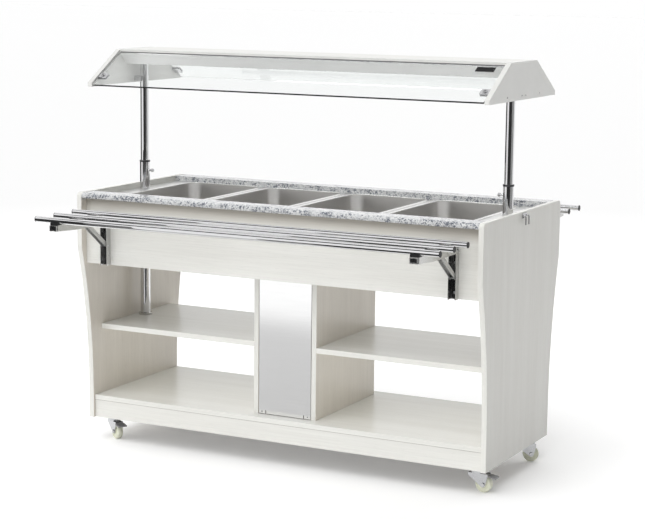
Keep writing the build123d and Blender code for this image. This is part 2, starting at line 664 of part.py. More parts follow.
def make_controls():
    """Front panel, rear panel with its controls, and what stands behind them."""
    front_panel = panel_sheet()
    notch_half = PANEL_NOTCH / 2
    notch_z = (DECK_TOP, DECK_TOP + PANEL_PLAY + PANEL_NOTCH_HEIGHT)
    for side in SIDES.values():
        x = side * PANEL_NOTCH_X
        front_panel -= block((x - notch_half, x + notch_half), (PANEL_BACK, PANEL_FACE), notch_z)
    save("access_panel_front", mirror(front_panel, about=Plane.XZ))

    pilot_z = CONTROL_Z + PILOT_RISE
    gland_z = DECK_TOP + GLAND_RISE
    outward = Vector(0, 1, 0)
    panel = panel_sheet()
    holes = [
        (KNOB_X, CONTROL_Z, SPINDLE_RADIUS + PLAY),
        (PILOT_X, pilot_z, PILOT_RADIUS + PLAY),
        (GLAND_X, gland_z, GLAND_NECK_RADIUS + PLAY),
        (0, DRAIN_Z, DRAIN_PIPE_RADIUS + PLAY),
    ]
    for x, z, radius in holes:
        panel -= rod((x, PANEL_BACK, z), (x, PANEL_FACE, z), radius)
    cut_half, cut_tall = SWITCH_LENGTH / 2 - SWITCH_LIP, SWITCH_HEIGHT / 2 - SWITCH_LIP
    for x in SWITCH_PLACES:
        panel -= block(
            (x - cut_half, x + cut_half),
            (PANEL_BACK, PANEL_FACE),
            (CONTROL_Z - cut_tall, CONTROL_Z + cut_tall),
        )
    save("control_panel_rear", panel)

    knob_base = PANEL_FACE + PLAY
    knob_axis = Plane(origin=(KNOB_X, knob_base, CONTROL_Z), z_dir=outward)
    skirt = KNOB_LENGTH - KNOB_GRIP
    knob = turned(
        [
            (0, 0),
            (KNOB_RADIUS, 0),
            (KNOB_RADIUS - KNOB_TAPER, skirt / 2),
            (KNOB_RADIUS - 2 * KNOB_TAPER, skirt),
            (0, skirt),
        ],
        knob_axis,
    )
    grip_half = KNOB_RADIUS - 2 * KNOB_TAPER
    knob += block(
        (KNOB_X - KNOB_GRIP / 2, KNOB_X + KNOB_GRIP / 2),
        (knob_base, knob_base + KNOB_LENGTH),
        (CONTROL_Z - grip_half, CONTROL_Z + grip_half),
    )
    spindle_end = PANEL_BACK - SPINDLE_LENGTH
    knob += rod((KNOB_X, spindle_end, CONTROL_Z), (KNOB_X, knob_base, CONTROL_Z), SPINDLE_RADIUS)
    save("thermostat_knob", knob)

    half = THERMOSTAT / 2
    thermostat = block(
        (KNOB_X - half, KNOB_X + half),
        (PANEL_BACK - THERMOSTAT_DEPTH, PANEL_BACK),
        (CONTROL_Z - half, CONTROL_Z + half),
    )
    bore = (KNOB_X, spindle_end - PLAY, CONTROL_Z)
    thermostat -= rod(bore, (KNOB_X, PANEL_BACK, CONTROL_Z), SPINDLE_RADIUS + PIN_PLAY)
    save("control_gear", thermostat, *(switch_body(x) for x in SWITCH_PLACES))
    for name, x in zip(("heat_switch", "lamp_switch"), SWITCH_PLACES):
        save(name, rocker(x))

    pilot = turned(
        [
            (0, -PILOT_BODY),
            (PILOT_RADIUS, -PILOT_BODY),
            (PILOT_RADIUS, 0),
            (PILOT_BEZEL_RADIUS, 0),
            (PILOT_BEZEL_RADIUS, PILOT_BEZEL),
            (PILOT_RADIUS, PILOT_BEZEL),
            (PILOT_RADIUS / 2, PILOT_LENS),
            (0, PILOT_LENS),
        ],
        Plane(origin=(PILOT_X, PANEL_FACE, pilot_z), z_dir=outward),
    )
    save("pilot_lamp", pilot)

    gland = turned(
        [
            (GLAND_BORE_RADIUS, -SHEET - GLAND_NUT),
            (GLAND_RADIUS, -SHEET - GLAND_NUT),
            (GLAND_RADIUS, -SHEET),
            (GLAND_NECK_RADIUS, -SHEET),
            (GLAND_NECK_RADIUS, 0),
            (GLAND_RADIUS, 0),
            (GLAND_RADIUS, GLAND_LENGTH / 2),
            (GLAND_NECK_RADIUS, GLAND_LENGTH),
            (GLAND_BORE_RADIUS, GLAND_LENGTH),
        ],
        Plane(origin=(GLAND_X, PANEL_FACE, gland_z), z_dir=outward),
    )
    save("cable_gland", gland)


# Posts, sleeves and clamp screws

def make_posts():
    """Sleeves from shelf to counter, their rings and collars, the sliding posts and the clamp screws."""
    sleeve = rod((POST_X, 0, SHELF_TOP), (POST_X, 0, SLEEVE_TOP), SLEEVE_RADIUS)
    boss_x = POST_X - SLEEVE_RADIUS - CLAMP_BOSS
    sleeve += rod((boss_x, 0, CLAMP_Z), (POST_X, 0, CLAMP_Z), CLAMP_BOSS_RADIUS)
    sleeve -= rod((POST_X, 0, SHELF_TOP), (POST_X, 0, SLEEVE_TOP), SLEEVE_BORE)
    sleeve -= rod((boss_x, 0, CLAMP_Z), (POST_X, 0, CLAMP_Z), CLAMP_SCREW_RADIUS + PIN_PLAY)
    save("post_sleeves", *both(sleeve, Plane.YZ))

    post_bore = POST_RADIUS + PIN_PLAY
    collar = turned(
        [
            (post_bore, -COLLAR_SPIGOT),
            (SLEEVE_BORE, -COLLAR_SPIGOT),
            (SLEEVE_BORE, 0),
            (SLEEVE_RADIUS + COLLAR_LIP, 0),
            (SLEEVE_RADIUS + COLLAR_LIP, COLLAR_HEIGHT),
            (post_bore, COLLAR_HEIGHT),
        ],
        Plane(origin=(POST_X, 0, SLEEVE_TOP)),
    )
    ring = rod((POST_X, 0, SHELF_TOP), (POST_X, 0, SHELF_TOP + FOOT_RING_HEIGHT), FOOT_RING_RADIUS)
    ring -= rod((POST_X, 0, SHELF_TOP), (POST_X, 0, SHELF_TOP + FOOT_RING_HEIGHT), SLEEVE_RADIUS)
    save("sleeve_collars", *both(collar, Plane.YZ), *both(ring, Plane.YZ))

    post = rod((POST_X, 0, POST_TAIL), (POST_X, 0, CEILING_Z), POST_RADIUS)
    post -= rod((POST_X, 0, POST_TAIL), (POST_X, 0, CEILING_Z), POST_RADIUS - POST_WALL)
    save("canopy_posts", *both(post, Plane.YZ))

    tip_x = POST_X - POST_RADIUS - SCREW_GAP
    neck_x = boss_x - PLAY
    head_x = neck_x - CLAMP_NECK
    screw = rod((tip_x, 0, CLAMP_Z), (neck_x, 0, CLAMP_Z), CLAMP_SCREW_RADIUS)
    screw += rod((neck_x, 0, CLAMP_Z), (head_x, 0, CLAMP_Z), CLAMP_NECK_RADIUS)
    head = RegularPolygon(CLAMP_HEAD_RADIUS, CLAMP_FLAT_COUNT)
    screw += extrude(Plane(origin=(head_x, 0, CLAMP_Z), z_dir=(-1, 0, 0)) * head, amount=CLAMP_HEAD)
    for name, turned_screw in zip(("right", "left"), both(screw, Plane.YZ)):
        save(f"clamp_knob_{name}", turned_screw)


# Canopy

def on_front_pane():
    """Plane on the front pane's upper face: X along the counter, Y up the slope from the lower edge."""
    edge = (0, -GLASS_FRONT, CANOPY_Z + GLASS_RISE)
    return Plane(origin=edge, x_dir=(1, 0, 0), z_dir=(0, -sin(GLASS_SLOPE), cos(GLASS_SLOPE)))


def glass_clip():
    """Clip that joins the right end of the front pane to the canopy's end panel."""
    clip = Box(CLIP_LENGTH, CLIP_WIDTH, GLASS_THICK + 2 * CLIP_PLATE)
    slot = Box(CLIP_LENGTH - GLASS_END_GAP, CLIP_WIDTH, GLASS_THICK)
    clip -= Pos(-GLASS_END_GAP / 2, 0, 0) * slot
    return on_front_pane() * Pos(CANOPY_INNER - CLIP_LENGTH / 2, CLIP_RISE, -GLASS_THICK / 2) * clip


def make_canopy():
    """End panels, top board, lamp housing with its lamps, panes, clips and post brackets."""
    low, high = CANOPY_DEPTH / 2, CANOPY_TOP_DEPTH / 2
    outline = Polygon(
        (-low, CANOPY_Z),
        (low, CANOPY_Z),
        (low, CANOPY_Z + CANOPY_EDGE),
        (high, CANOPY_HEIGHT),
        (-high, CANOPY_HEIGHT),
        (-low, CANOPY_Z + CANOPY_EDGE),
        align=None,
    )
    save("canopy_ends", *both(prism(outline, CANOPY_INNER, CANOPY_HALF), Plane.YZ))

    board_half = CANOPY_BOARD_DEPTH / 2
    board = block((-CANOPY_INNER, CANOPY_INNER), (-board_half, board_half), (CEILING_Z, CANOPY_HEIGHT))
    save("canopy_top", board)

    floor_half = HOUSING_FLOOR / 2
    wall = SHEET * hypot(HOUSING_HEIGHT, board_half - floor_half) / HOUSING_HEIGHT

    def trough(top_half, bottom_half, bottom):
        return Polygon(
            (-top_half, CEILING_Z),
            (-bottom_half, bottom),
            (bottom_half, bottom),
            (top_half, CEILING_Z),
            align=None,
        )

    lean = (board_half - floor_half) / HOUSING_HEIGHT
    inner_floor = floor_half - wall + lean * SHEET
    section = trough(board_half, floor_half, HOUSING_Z)
    section -= trough(board_half - wall, inner_floor, HOUSING_Z + SHEET)
    lip_out = board_half - wall / 2
    lip = Pos(lip_out - HOUSING_LIP / 2, CEILING_Z - SHEET / 2) * Rectangle(HOUSING_LIP, SHEET)
    lip_cut = lip & trough(board_half, floor_half, HOUSING_Z)
    section += [lip_cut, mirror(lip_cut, about=Plane.YZ)]
    housing = prism(section, -CANOPY_INNER, CANOPY_INNER)
    window = Rectangle(LAMP_WINDOW_LENGTH, LAMP_WINDOW_DEPTH)
    lamp_places = [(i + 0.5 - PAN_COUNT / 2) * PAN_PITCH for i in range(PAN_COUNT)]
    for x in lamp_places:
        housing -= Pos(x, 0, 0) * slab(window, HOUSING_Z, HOUSING_Z + SHEET)
    for side in SIDES.values():
        housing -= rod((side * POST_X, 0, HOUSING_Z), (side * POST_X, 0, HOUSING_Z + SHEET), POST_RADIUS)
    save("lamp_housing", housing)

    lamps = []
    lamp_z = CEILING_Z - LAMP_DROP
    for x in lamp_places:
        half = LAMP_LENGTH / 2
        lamp = rod((x - half, 0, lamp_z), (x + half, 0, lamp_z), LAMP_RADIUS)
        for side in SIDES.values():
            end = x + side * half
            lamp += rod((end - side * LAMP_CAP, 0, lamp_z), (end, 0, lamp_z), LAMP_CAP_RADIUS)
            depth = LAMP_HOLDER_DEPTH / 2
            span = (end, end + side * LAMP_HOLDER)
            lamps.append(block(span, (-depth, depth), (CEILING_Z - LAMP_HOLDER_DROP, CEILING_Z)))
        lamps.append(lamp)
    save("heat_lamps", *lamps)

    pane_half = CANOPY_INNER - GLASS_END_GAP
    pane = Pos(0, GLASS_WIDTH / 2, -GLASS_THICK / 2) * Box(2 * pane_half, GLASS_WIDTH, GLASS_THICK)
    save("glass_panes", *both(on_front_pane() * pane, Plane.XZ))

    fittings = []
    for clip in both(glass_clip(), Plane.YZ):
        fittings += both(clip, Plane.XZ)
    bracket_z = CANOPY_Z + BRACKET_RISE
    bracket = block(
        (POST_X, CANOPY_INNER),
        (-BRACKET_WIDTH / 2, BRACKET_WIDTH / 2),
        (bracket_z - BRACKET_HEIGHT / 2, bracket_z + BRACKET_HEIGHT / 2),
    )
    bracket -= rod((POST_X, 0, CANOPY_Z), (POST_X, 0, CEILING_Z), POST_RADIUS)
    fittings += both(bracket, Plane.YZ)
    save("canopy_fittings", *fittings)


# Folding tray slides

def tube_places():
    """Distances of the tubes from the middle of the counter."""
    return [TUBE_FIRST + i * TUBE_PITCH for i in range(TUBE_COUNT)]


def tray_rail():
    """Upright channel on the apron, open to the front, with a rounded top for the arm to turn over."""
    cheek = Pos(-(APRON_FACE + RAIL_FRONT) / 2, (APRON_BOTTOM + PIVOT_Z) / 2) * Rectangle(
        RAIL_DEPTH, PIVOT_Z - APRON_BOTTOM
    )
    cheek += Pos(-PIVOT_Y, PIVOT_Z) * Circle(RAIL_TOP_ROUND)
    shoulder = PIVOT_Y - APRON_FACE
    shoulder_z = PIVOT_Z + RAIL_TOP_ROUND / 2
    cheek += Pos(-APRON_FACE - shoulder / 2, shoulder_z) * Rectangle(shoulder, RAIL_TOP_ROUND)
    half = RAIL_LENGTH / 2
    rail = prism(cheek, -half, half)
    hollow = block(
        (SHEET - half, half - SHEET),
        (-RAIL_FRONT, -APRON_FACE - SHEET),
        (APRON_BOTTOM, PIVOT_Z + RAIL_TOP_ROUND),
    )
    rail -= hollow
    rail -= rod((-half, -PIVOT_Y, PIVOT_Z), (half, -PIVOT_Y, PIVOT_Z), ARM_PIN_RADIUS)
    rail -= rod((-half, -PIVOT_Y, STRUT_Z), (half, -PIVOT_Y, STRUT_Z), STRUT_PIN_RADIUS)
    return rail


def rail_pins():
    """Pivot pins of one bracket: headed for the arm, flush for the strut."""
    half = ARM_LENGTH / 2 + PLAY
    arm_pin = rod((-half, -PIVOT_Y, PIVOT_Z), (half, -PIVOT_Y, PIVOT_Z), ARM_PIN_RADIUS)
    for side in SIDES.values():
        start, end = side * half, side * (half + ARM_PIN_HEAD)
        arm_pin += rod((start, -PIVOT_Y, PIVOT_Z), (end, -PIVOT_Y, PIVOT_Z), ARM_PIN_HEAD_RADIUS)
    half = RAIL_LENGTH / 2 + STRUT_PIN_STAND
    strut_pin = rod((-half, -PIVOT_Y, STRUT_Z), (half, -PIVOT_Y, STRUT_Z), STRUT_PIN_RADIUS)
    return [arm_pin, strut_pin]


def tray_arm():
    """Arm of folded sheet, open below and tapered to its end, that straddles its rail when it hangs down."""
    length = ARM_END - PIVOT_Y
    height = ARM_ABOVE + ARM_BELOW
    middle_y, middle_z = -(ARM_END + PIVOT_Y) / 2, PIVOT_Z + (ARM_ABOVE - ARM_BELOW) / 2
    cheek = Pos(middle_y, middle_z) * Rectangle(length, height)
    cheek += Pos(-PIVOT_Y, PIVOT_Z) * Circle(ARM_BELOW)
    cheek -= Polygon(
        (-ARM_END, PIVOT_Z - ARM_BELOW),
        (ARM_TAPER - ARM_END, PIVOT_Z - ARM_BELOW),
        (-ARM_END, ARM_TOP - ARM_TIP),
        align=None,
    )
    half = ARM_LENGTH / 2
    arm = prism(cheek, -half, half)
    arm -= block(
        (SHEET - half, half - SHEET),
        (-ARM_END, ARM_ABOVE - PIVOT_Y),
        (PIVOT_Z - ARM_BELOW, ARM_TOP - SHEET),
    )
    arm -= block((SHEET - half, half - SHEET), (-PIVOT_Y, ARM_ABOVE - PIVOT_Y), (PIVOT_Z, ARM_TOP))
    arm -= rod((-half, -PIVOT_Y, PIVOT_Z), (half, -PIVOT_Y, PIVOT_Z), ARM_PIN_RADIUS + PIN_PLAY)
    return arm


def arm_cap():
    """Plug in the arm's front end, with an upright groove."""
    half = ARM_LENGTH / 2 - SHEET
    tall = (ARM_TOP - ARM_TIP, ARM_TOP - SHEET)
    cap = block((-half, half), (ARM_CAP_PLUG - ARM_END, -ARM_END - ARM_CAP), tall)
    groove = ARM_CAP_GROOVE / 2
    cut_y = (-ARM_END - ARM_CAP, -ARM_END - ARM_CAP + ARM_CAP_GROOVE_DEPTH)
    return cap - block((-groove, groove), cut_y, tall)


def saddle(y):
    """Pad between an arm and a tube, hollowed to the tube."""
    half = ARM_LENGTH / 2
    pad = block(
        (-half, half),
        (-y - SADDLE_DEPTH / 2, -y + SADDLE_DEPTH / 2),
        (ARM_TOP, ARM_TOP + SADDLE_SEAT + SADDLE_CHEEK),
    )
    return pad - rod((-half, -y, TUBE_HEIGHT), (half, -y, TUBE_HEIGHT), TUBE_RADIUS)


def tray_strut():
    """Diagonal channel pinned to the rail, open to the front, whose tip bears under the arm."""
    length = hypot(STRUT_REACH, STRUT_DROP)
    lean = atan2(STRUT_DROP, STRUT_REACH)
    half_height = STRUT_HEIGHT / 2
    total = length + STRUT_TIP
    cheek = Pos(total / 2, 0) * Rectangle(total, STRUT_HEIGHT) + Circle(half_height)
    half = STRUT_LENGTH / 2
    strut = prism(cheek, -half, half)
    inside = (SHEET - half, half - SHEET)
    strut -= block(inside, (-half_height, total), (SHEET - half_height, half_height))
    strut -= block(inside, (-half_height, half_height), (-half_height, half_height))
    strut -= rod((-half, 0, 0), (half, 0, 0), STRUT_PIN_RADIUS + PIN_PLAY)
    placed = Pos(0, -PIVOT_Y, STRUT_Z) * Rot(180 - degrees(lean), 0, 0) * strut
    ceiling = ARM_TOP - SHEET - PLAY
    above = block((-half, half), (-ARM_END, 0), (ceiling, ceiling + STRUT_DROP))
    return placed - above


def make_trays():
    """Front and rear tray slides on their folding brackets."""
    places = [Pos(side * RAIL_X, 0, 0) for side in SIDES.values()]
    tubes, caps = [], []
    for y in tube_places():
        tube = rod((-TUBE_HALF, -y, TUBE_HEIGHT), (TUBE_HALF, -y, TUBE_HEIGHT), TUBE_RADIUS)
        bore = TUBE_RADIUS - TUBE_WALL
        tubes.append(tube - rod((-TUBE_HALF, -y, TUBE_HEIGHT), (TUBE_HALF, -y, TUBE_HEIGHT), bore))
        cap = rod((TUBE_HALF, -y, TUBE_HEIGHT), (TUBE_HALF + TUBE_CAP, -y, TUBE_HEIGHT), TUBE_RADIUS)
        cap += rod((TUBE_HALF - TUBE_CAP_PLUG, -y, TUBE_HEIGHT), (TUBE_HALF, -y, TUBE_HEIGHT), bore)
        caps += both(cap, Plane.YZ)
        caps += [place * saddle(y) for place in places]
    caps += [place * arm_cap() for place in places]
    arms = [place * tray_arm() for place in places]
    struts = [place * tray_strut() for place in places]
    rails, pins = [], []
    for name, face in FACES.items():
        save(f"tray_arms_{name}", *(facing(arm, face) for arm in arms))
        save(f"tray_tubes_{name}", *(facing(tube, face) for tube in tubes))
        save(f"tray_caps_{name}", *(facing(cap, face) for cap in caps))
        save(f"tray_struts_{name}", *(facing(strut, face) for strut in struts))
        for place in places:
            rails.append(facing(place * tray_rail(), face))
            pins += [facing(place * pin, face) for pin in rail_pins()]
    save("bracket_rails", *rails)
    save("bracket_pins", *pins)


# Side hooks

def make_hooks():
    """Double hook on the outside of each side panel."""
    top = COUNTER_HEIGHT - HOOK_DROP
    plate_face = HALF + HOOK_PLATE
    hook = block((HALF, plate_face), (-HOOK_WIDTH / 2, HOOK_WIDTH / 2), (top - HOOK_HEIGHT, top))
    level = top - HOOK_HEIGHT / 2
    for face in FACES.values():
        y = face * HOOK_SPREAD / 2
        reach = plate_face + HOOK_REACH
        points = [(HALF, y, level), (reach, y, level), (reach, y, level - HOOK_HANG)]
        hook += bent_rod(points, HOOK_BEND, HOOK_ROD_RADIUS)
    save("side_hooks", *both(hook, Plane.YZ))


# Casters, drawn about their own swivel axis with the wheel trailing along X

def caster_plate():
    """Top plate with its race and kingpin."""
    plate = slab(RectangleRounded(PLATE_LENGTH, PLATE_WIDTH, PLATE_CORNER), PLATE_Z, FLOOR_GAP)
    plate += rod((0, 0, RACE_Z), (0, 0, PLATE_Z), RACE_RADIUS)
    plate += rod((0, 0, KINGPIN_Z), (0, 0, RACE_Z), KINGPIN_RADIUS)
    plate += rod((0, 0, KINGPIN_Z), (0, 0, KINGPIN_Z + KINGPIN_HEAD), KINGPIN_HEAD_RADIUS)
    return plate


def caster_fork():
    """Fork with its race cup and two legs that taper to the axle's eyes."""
    fork = rod((0, 0, CROWN_TOP), (0, 0, CUP_TOP), RACE_RADIUS)
    crown_middle = (FORK_NOSE - FORK_BACK) / 2
    crown = block((-FORK_BACK, PEDAL_PIN_X - FORK_EYE), (-LEG_OUTER, LEG_OUTER), (CROWN_Z, CROWN_TOP))
    eye = Pos(CASTER_TRAIL, AXLE_Z) * Circle(FORK_EYE)
    shoulder = Pos(crown_middle, CROWN_TOP - FORK_CROWN) * Rectangle(FORK_NOSE + FORK_BACK, 2 * FORK_CROWN)
    leg = make_hull(eye.edges() + shoulder.edges())
    legs = extrude(Plane.XZ.offset(LEG_INNER) * leg, amount=FORK_PLATE)
    fork += [crown, *both(legs, Plane.XZ)]
    fork -= rod((0, 0, CROWN_Z), (0, 0, CUP_TOP), KINGPIN_RADIUS + PIN_PLAY)
    axle_end = (CASTER_TRAIL, LEG_OUTER, AXLE_Z)
    return fork - rod((CASTER_TRAIL, -LEG_OUTER, AXLE_Z), axle_end, AXLE_RADIUS)


def caster_axle():
    """Axle with a head at each end, outside the legs."""
    x, z = CASTER_TRAIL, AXLE_Z
    axle = rod((x, -LEG_OUTER, z), (x, LEG_OUTER, z), AXLE_RADIUS)
    for face in FACES.values():
        axle += rod((x, face * LEG_OUTER, z), (x, face * (LEG_OUTER + AXLE_HEAD), z), AXLE_HEAD_RADIUS)
    return axle


def caster_wheel():
    """Moulded wheel: rounded tread, dished sides and a raised hub."""
    half = WHEEL_WIDTH / 2
    bore = AXLE_RADIUS + PIN_PLAY
    side = [
        (bore, half),
        (WHEEL_HUB_RADIUS, half),
        (WHEEL_HUB_RADIUS, half - WHEEL_DISH),
        (WHEEL_RIM_RADIUS, half - WHEEL_DISH),
        (WHEEL_RIM_RADIUS, half),
        (WHEEL_RADIUS - WHEEL_ROUND, half),
        (WHEEL_RADIUS, half - WHEEL_ROUND),
    ]
    points = side + [(r, -h) for r, h in reversed(side)]
    return turned(points, Plane(origin=(CASTER_TRAIL, 0, AXLE_Z), z_dir=(0, 1, 0)))


def caster_pedal():
    """Brake pedal, hinged between the legs and reaching out over the wheel."""
    hub_half = LEG_INNER - PLAY
    tread_half = PEDAL_WIDTH / 2
    pedal = rod((PEDAL_PIN_X, -hub_half, PEDAL_PIN_Z), (PEDAL_PIN_X, hub_half, PEDAL_PIN_Z), PEDAL_HUB_RADIUS)
    nose = FORK_NOSE + PLAY
    fall = PEDAL_FALL / (PEDAL_REACH - PEDAL_PIN_X)

    def lever(start, end):
        low, high = -PEDAL_THICK / 2, PEDAL_THICK / 2
        drop = [fall * (x - PEDAL_PIN_X) for x in (start, end)]
        return Polygon(
            (start, PEDAL_PIN_Z - drop[0] + low),
            (end, PEDAL_PIN_Z - drop[1] + low),
            (end, PEDAL_PIN_Z - drop[1] + high),
            (start, PEDAL_PIN_Z - drop[0] + high),
            align=None,
        )

    neck = extrude(Plane.XZ.offset(-hub_half) * lever(PEDAL_PIN_X, nose + PEDAL_THICK), amount=2 * hub_half)
    tread = extrude(
        Plane.XZ.offset(-tread_half) * lever(nose + PEDAL_THICK / 2, PEDAL_REACH), amount=2 * tread_half
    )
    pedal += [neck, tread]
    pin_hole = PEDAL_PIN_RADIUS + PIN_PLAY
    return pedal - rod((PEDAL_PIN_X, -hub_half, PEDAL_PIN_Z), (PEDAL_PIN_X, hub_half, PEDAL_PIN_Z), pin_hole)


def pedal_pin():
    """Pin of the brake pedal, held in both legs."""
    return rod(
        (PEDAL_PIN_X, -LEG_OUTER, PEDAL_PIN_Z), (PEDAL_PIN_X, LEG_OUTER, PEDAL_PIN_Z), PEDAL_PIN_RADIUS
    )


def make_casters():
    """Four casters, each turned its own way, with a brake on the front pair."""
    plates = []
    for name, turn in CASTER_TURNS.items():
        face_name, side_name = name.split("_")
        corner = Pos(SIDES[side_name] * CASTER_X, FACES[face_name] * CASTER_Y, 0)
        plates.append(corner * caster_plate())
        place = corner * Rot(0, 0, turn)
        fork_pieces = [caster_fork(), caster_axle()]
        if FACES[face_name] == FRONT:
            pin_hole = pedal_pin()
            fork_pieces = [fork_pieces[0] - pin_hole, fork_pieces[1], pin_hole]
            save(f"brake_pedal_{side_name}", place * caster_pedal())
        save(f"caster_fork_{name}", *(place * piece for piece in fork_pieces))
        save(f"caster_wheel_{name}", place * caster_wheel())
    save("caster_plates", *plates)


make_body()
make_stone()
make_top()
make_pans()
make_heater()
make_drain()
make_controls()
make_posts()
make_canopy()
make_trays()
make_hooks()
make_casters()
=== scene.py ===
import json
import math

import bmesh
import bpy
from mathutils import Matrix, Vector


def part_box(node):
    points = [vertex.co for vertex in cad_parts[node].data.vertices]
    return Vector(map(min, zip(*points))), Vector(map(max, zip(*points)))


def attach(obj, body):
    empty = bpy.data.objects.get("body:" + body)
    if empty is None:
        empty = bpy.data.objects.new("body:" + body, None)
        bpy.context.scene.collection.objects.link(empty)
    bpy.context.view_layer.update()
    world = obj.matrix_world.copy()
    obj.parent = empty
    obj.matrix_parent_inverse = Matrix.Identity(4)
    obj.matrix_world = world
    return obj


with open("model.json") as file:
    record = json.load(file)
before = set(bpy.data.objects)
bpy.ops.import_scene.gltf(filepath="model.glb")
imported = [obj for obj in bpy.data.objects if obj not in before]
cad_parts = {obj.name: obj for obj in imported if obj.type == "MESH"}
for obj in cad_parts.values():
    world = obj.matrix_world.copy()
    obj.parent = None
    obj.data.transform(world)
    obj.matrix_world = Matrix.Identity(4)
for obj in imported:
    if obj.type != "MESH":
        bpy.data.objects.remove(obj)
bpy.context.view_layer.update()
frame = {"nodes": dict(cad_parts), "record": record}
nodes = frame["nodes"]
X, Y, Z = 0, 1, 2
SIDES = (-1, 1)
UP = Vector((0, 0, 1))

# Places on the part that materials and new pieces refer to, in metres

BRACKET_X = 0.663  # tray brackets, from the middle
SIDE_MIDDLE = 0.761  # middle of a side panel's thickness
BAY_TOP = 0.880  # the painted warm shade on the faces inside the counter ends here
RING_TOP = 0.60  # foot rings lie below it, collars above it
PAINTED_SHADOW_DEPTH = 0.058  # depth of the painted shadow on the aprons, under the stone
SEAM_HALF = 0.0011  # half the width of the painted shadow line at the seam between deck and fascia
ARM_LOW, ARM_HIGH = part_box("tray_arms_front")
PLUG_HALF = 0.0112  # plugs of the arms, inside their steel lips
PLUG_FOOT, PLUG_HEAD = ARM_HIGH.z - 0.0160, ARM_HIGH.z - 0.0036
RIM_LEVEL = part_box("gn_pan_1")[1].z - 0.0025
GLASS_THICK = 0.006
GLASS_SLOPE = math.atan2(0.110, 0.181)


# Materials

class Tree:
    """Short calls for the nodes of a shader tree."""

    def __init__(self, owner):
        owner.use_nodes = True
        self.tree = owner.node_tree

    def feed(self, socket, value):
        """Gives a socket a constant or another node's output."""
        if isinstance(value, bpy.types.NodeSocket):
            self.tree.links.new(value, socket)
        else:
            socket.default_value = value

    def add(self, kind, inputs=(), **settings):
        """A new node with its settings and inputs."""
        node = self.tree.nodes.new("ShaderNode" + kind)
        for key, value in settings.items():
            setattr(node, key, value)
        for key, value in dict(inputs).items():
            self.feed(node.inputs[key], value)
        return node

    def math(self, operation, a, b=0.0):
        return self.add("Math", {0: a, 1: b}, operation=operation).outputs[0]

    def above(self, value, limit):
        """One where a value is over a limit, else nought."""
        return self.math("GREATER_THAN", value, limit)

    def below(self, value, limit):
        """One where a value is under a limit, else nought."""
        return self.math("LESS_THAN", value, limit)

    def times(self, product, *factors):
        for factor in factors:
            product = self.math("MULTIPLY", product, factor)
        return product

    def span(self, value, low, high):
        """Carries a value from nought to one over to a span."""
        inputs = {"Value": value, "To Min": low, "To Max": high}
        return self.add("MapRange", inputs).outputs["Result"]

    def axes(self, coordinates):
        """X, Y and Z of a kind of texture coordinates."""
        vector = self.add("TexCoord").outputs[coordinates]
        return self.add("SeparateXYZ", {"Vector": vector}).outputs

    def seen_directly(self):
        """One for rays that show a surface, nought for those that gather its light."""
        path = self.add("LightPath").outputs
        seen = self.math("MAXIMUM", path["Is Camera Ray"], path["Is Glossy Ray"])
        return self.math("MAXIMUM", seen, path["Is Transmission Ray"])


class Shader(Tree):
    """A material with its main shader."""

    def __init__(self, name, color, roughness, **sockets):
        self.material = bpy.data.materials.new(name)
        super().__init__(self.material)
        self.bsdf = self.tree.nodes["Principled BSDF"]
        self.set("Base Color", (*color, 1.0))
        self.set("Roughness", roughness)
        for socket, value in sockets.items():
            self.set(socket.replace("_", " "), value)

    def set(self, socket, value):
        self.feed(self.bsdf.inputs[socket], value)

    def from_middle(self, axis, middle=0.0):
        """Distance of a point from two planes, one at each side of the middle, in metres."""
        side = self.math("ABSOLUTE", self.axes("Object")[axis])
        return self.math("ABSOLUTE", self.math("SUBTRACT", side, middle))

    def place(self, scale):
        """Object coordinates, in metres, times one scale or a scale on each axis."""
        if isinstance(scale, float):
            scale = (scale,) * 3
        coords = self.add("TexCoord").outputs["Object"]
        return self.add("Mapping", {"Vector": coords, "Scale": scale}).outputs["Vector"]

    def noise(self, scale, detail=3.0, distortion=0.0):
        inputs = {"Scale": 1.0, "Detail": detail, "Distortion": distortion}
        return self.add("TexNoise", {"Vector": self.place(scale), **inputs}).outputs["Fac"]

    def cells(self, scale):
        """A random value for each cell of a grain pattern."""
        inputs = {"Vector": self.place(scale), "Scale": 1.0}
        return self.add("TexVoronoi", inputs).outputs["Color"]

    def ramp(self, factor, *stops):
        """Colours, or greys, at places along a factor."""
        node = self.add("ValToRGB", {"Fac": factor})
        points = node.color_ramp.elements
        while len(points) < len(stops):
            points.new(0.5)
        for point, (place, color) in zip(points, stops):
            point.position = place
            grey = isinstance(color, float)
            point.color = (color, color, color, 1.0) if grey else (*color, 1.0)
        return node.outputs["Color"]

    def mix(self, factor, a, b, blend="MIX"):
        """Two colours mixed by a factor."""
        node = self.add("Mix", data_type="RGBA", blend_type=blend)
        for index, value in ((0, factor), (6, a), (7, b)):
            constant = isinstance(value, tuple)
            self.feed(node.inputs[index], (*value, 1.0) if constant else value)
        return node.outputs[2]

    def multiply(self, product, *colors):
        for color in colors:
            product = self.mix(1.0, product, color, "MULTIPLY")
        return product

    def bump(self, height, distance, strength=1.0):
        inputs = {"Height": height, "Distance": distance, "Strength": strength}
        self.set("Normal", self.add("Bump", inputs).outputs["Normal"])


def along(axis, length, across):
    """A texture scale that stretches a pattern along one axis."""
    scale = [1.0 / across] * 3
    scale[axis] = 1.0 / length
    return scale


def tinted(color, factor):
    return tuple(part * factor for part in color)


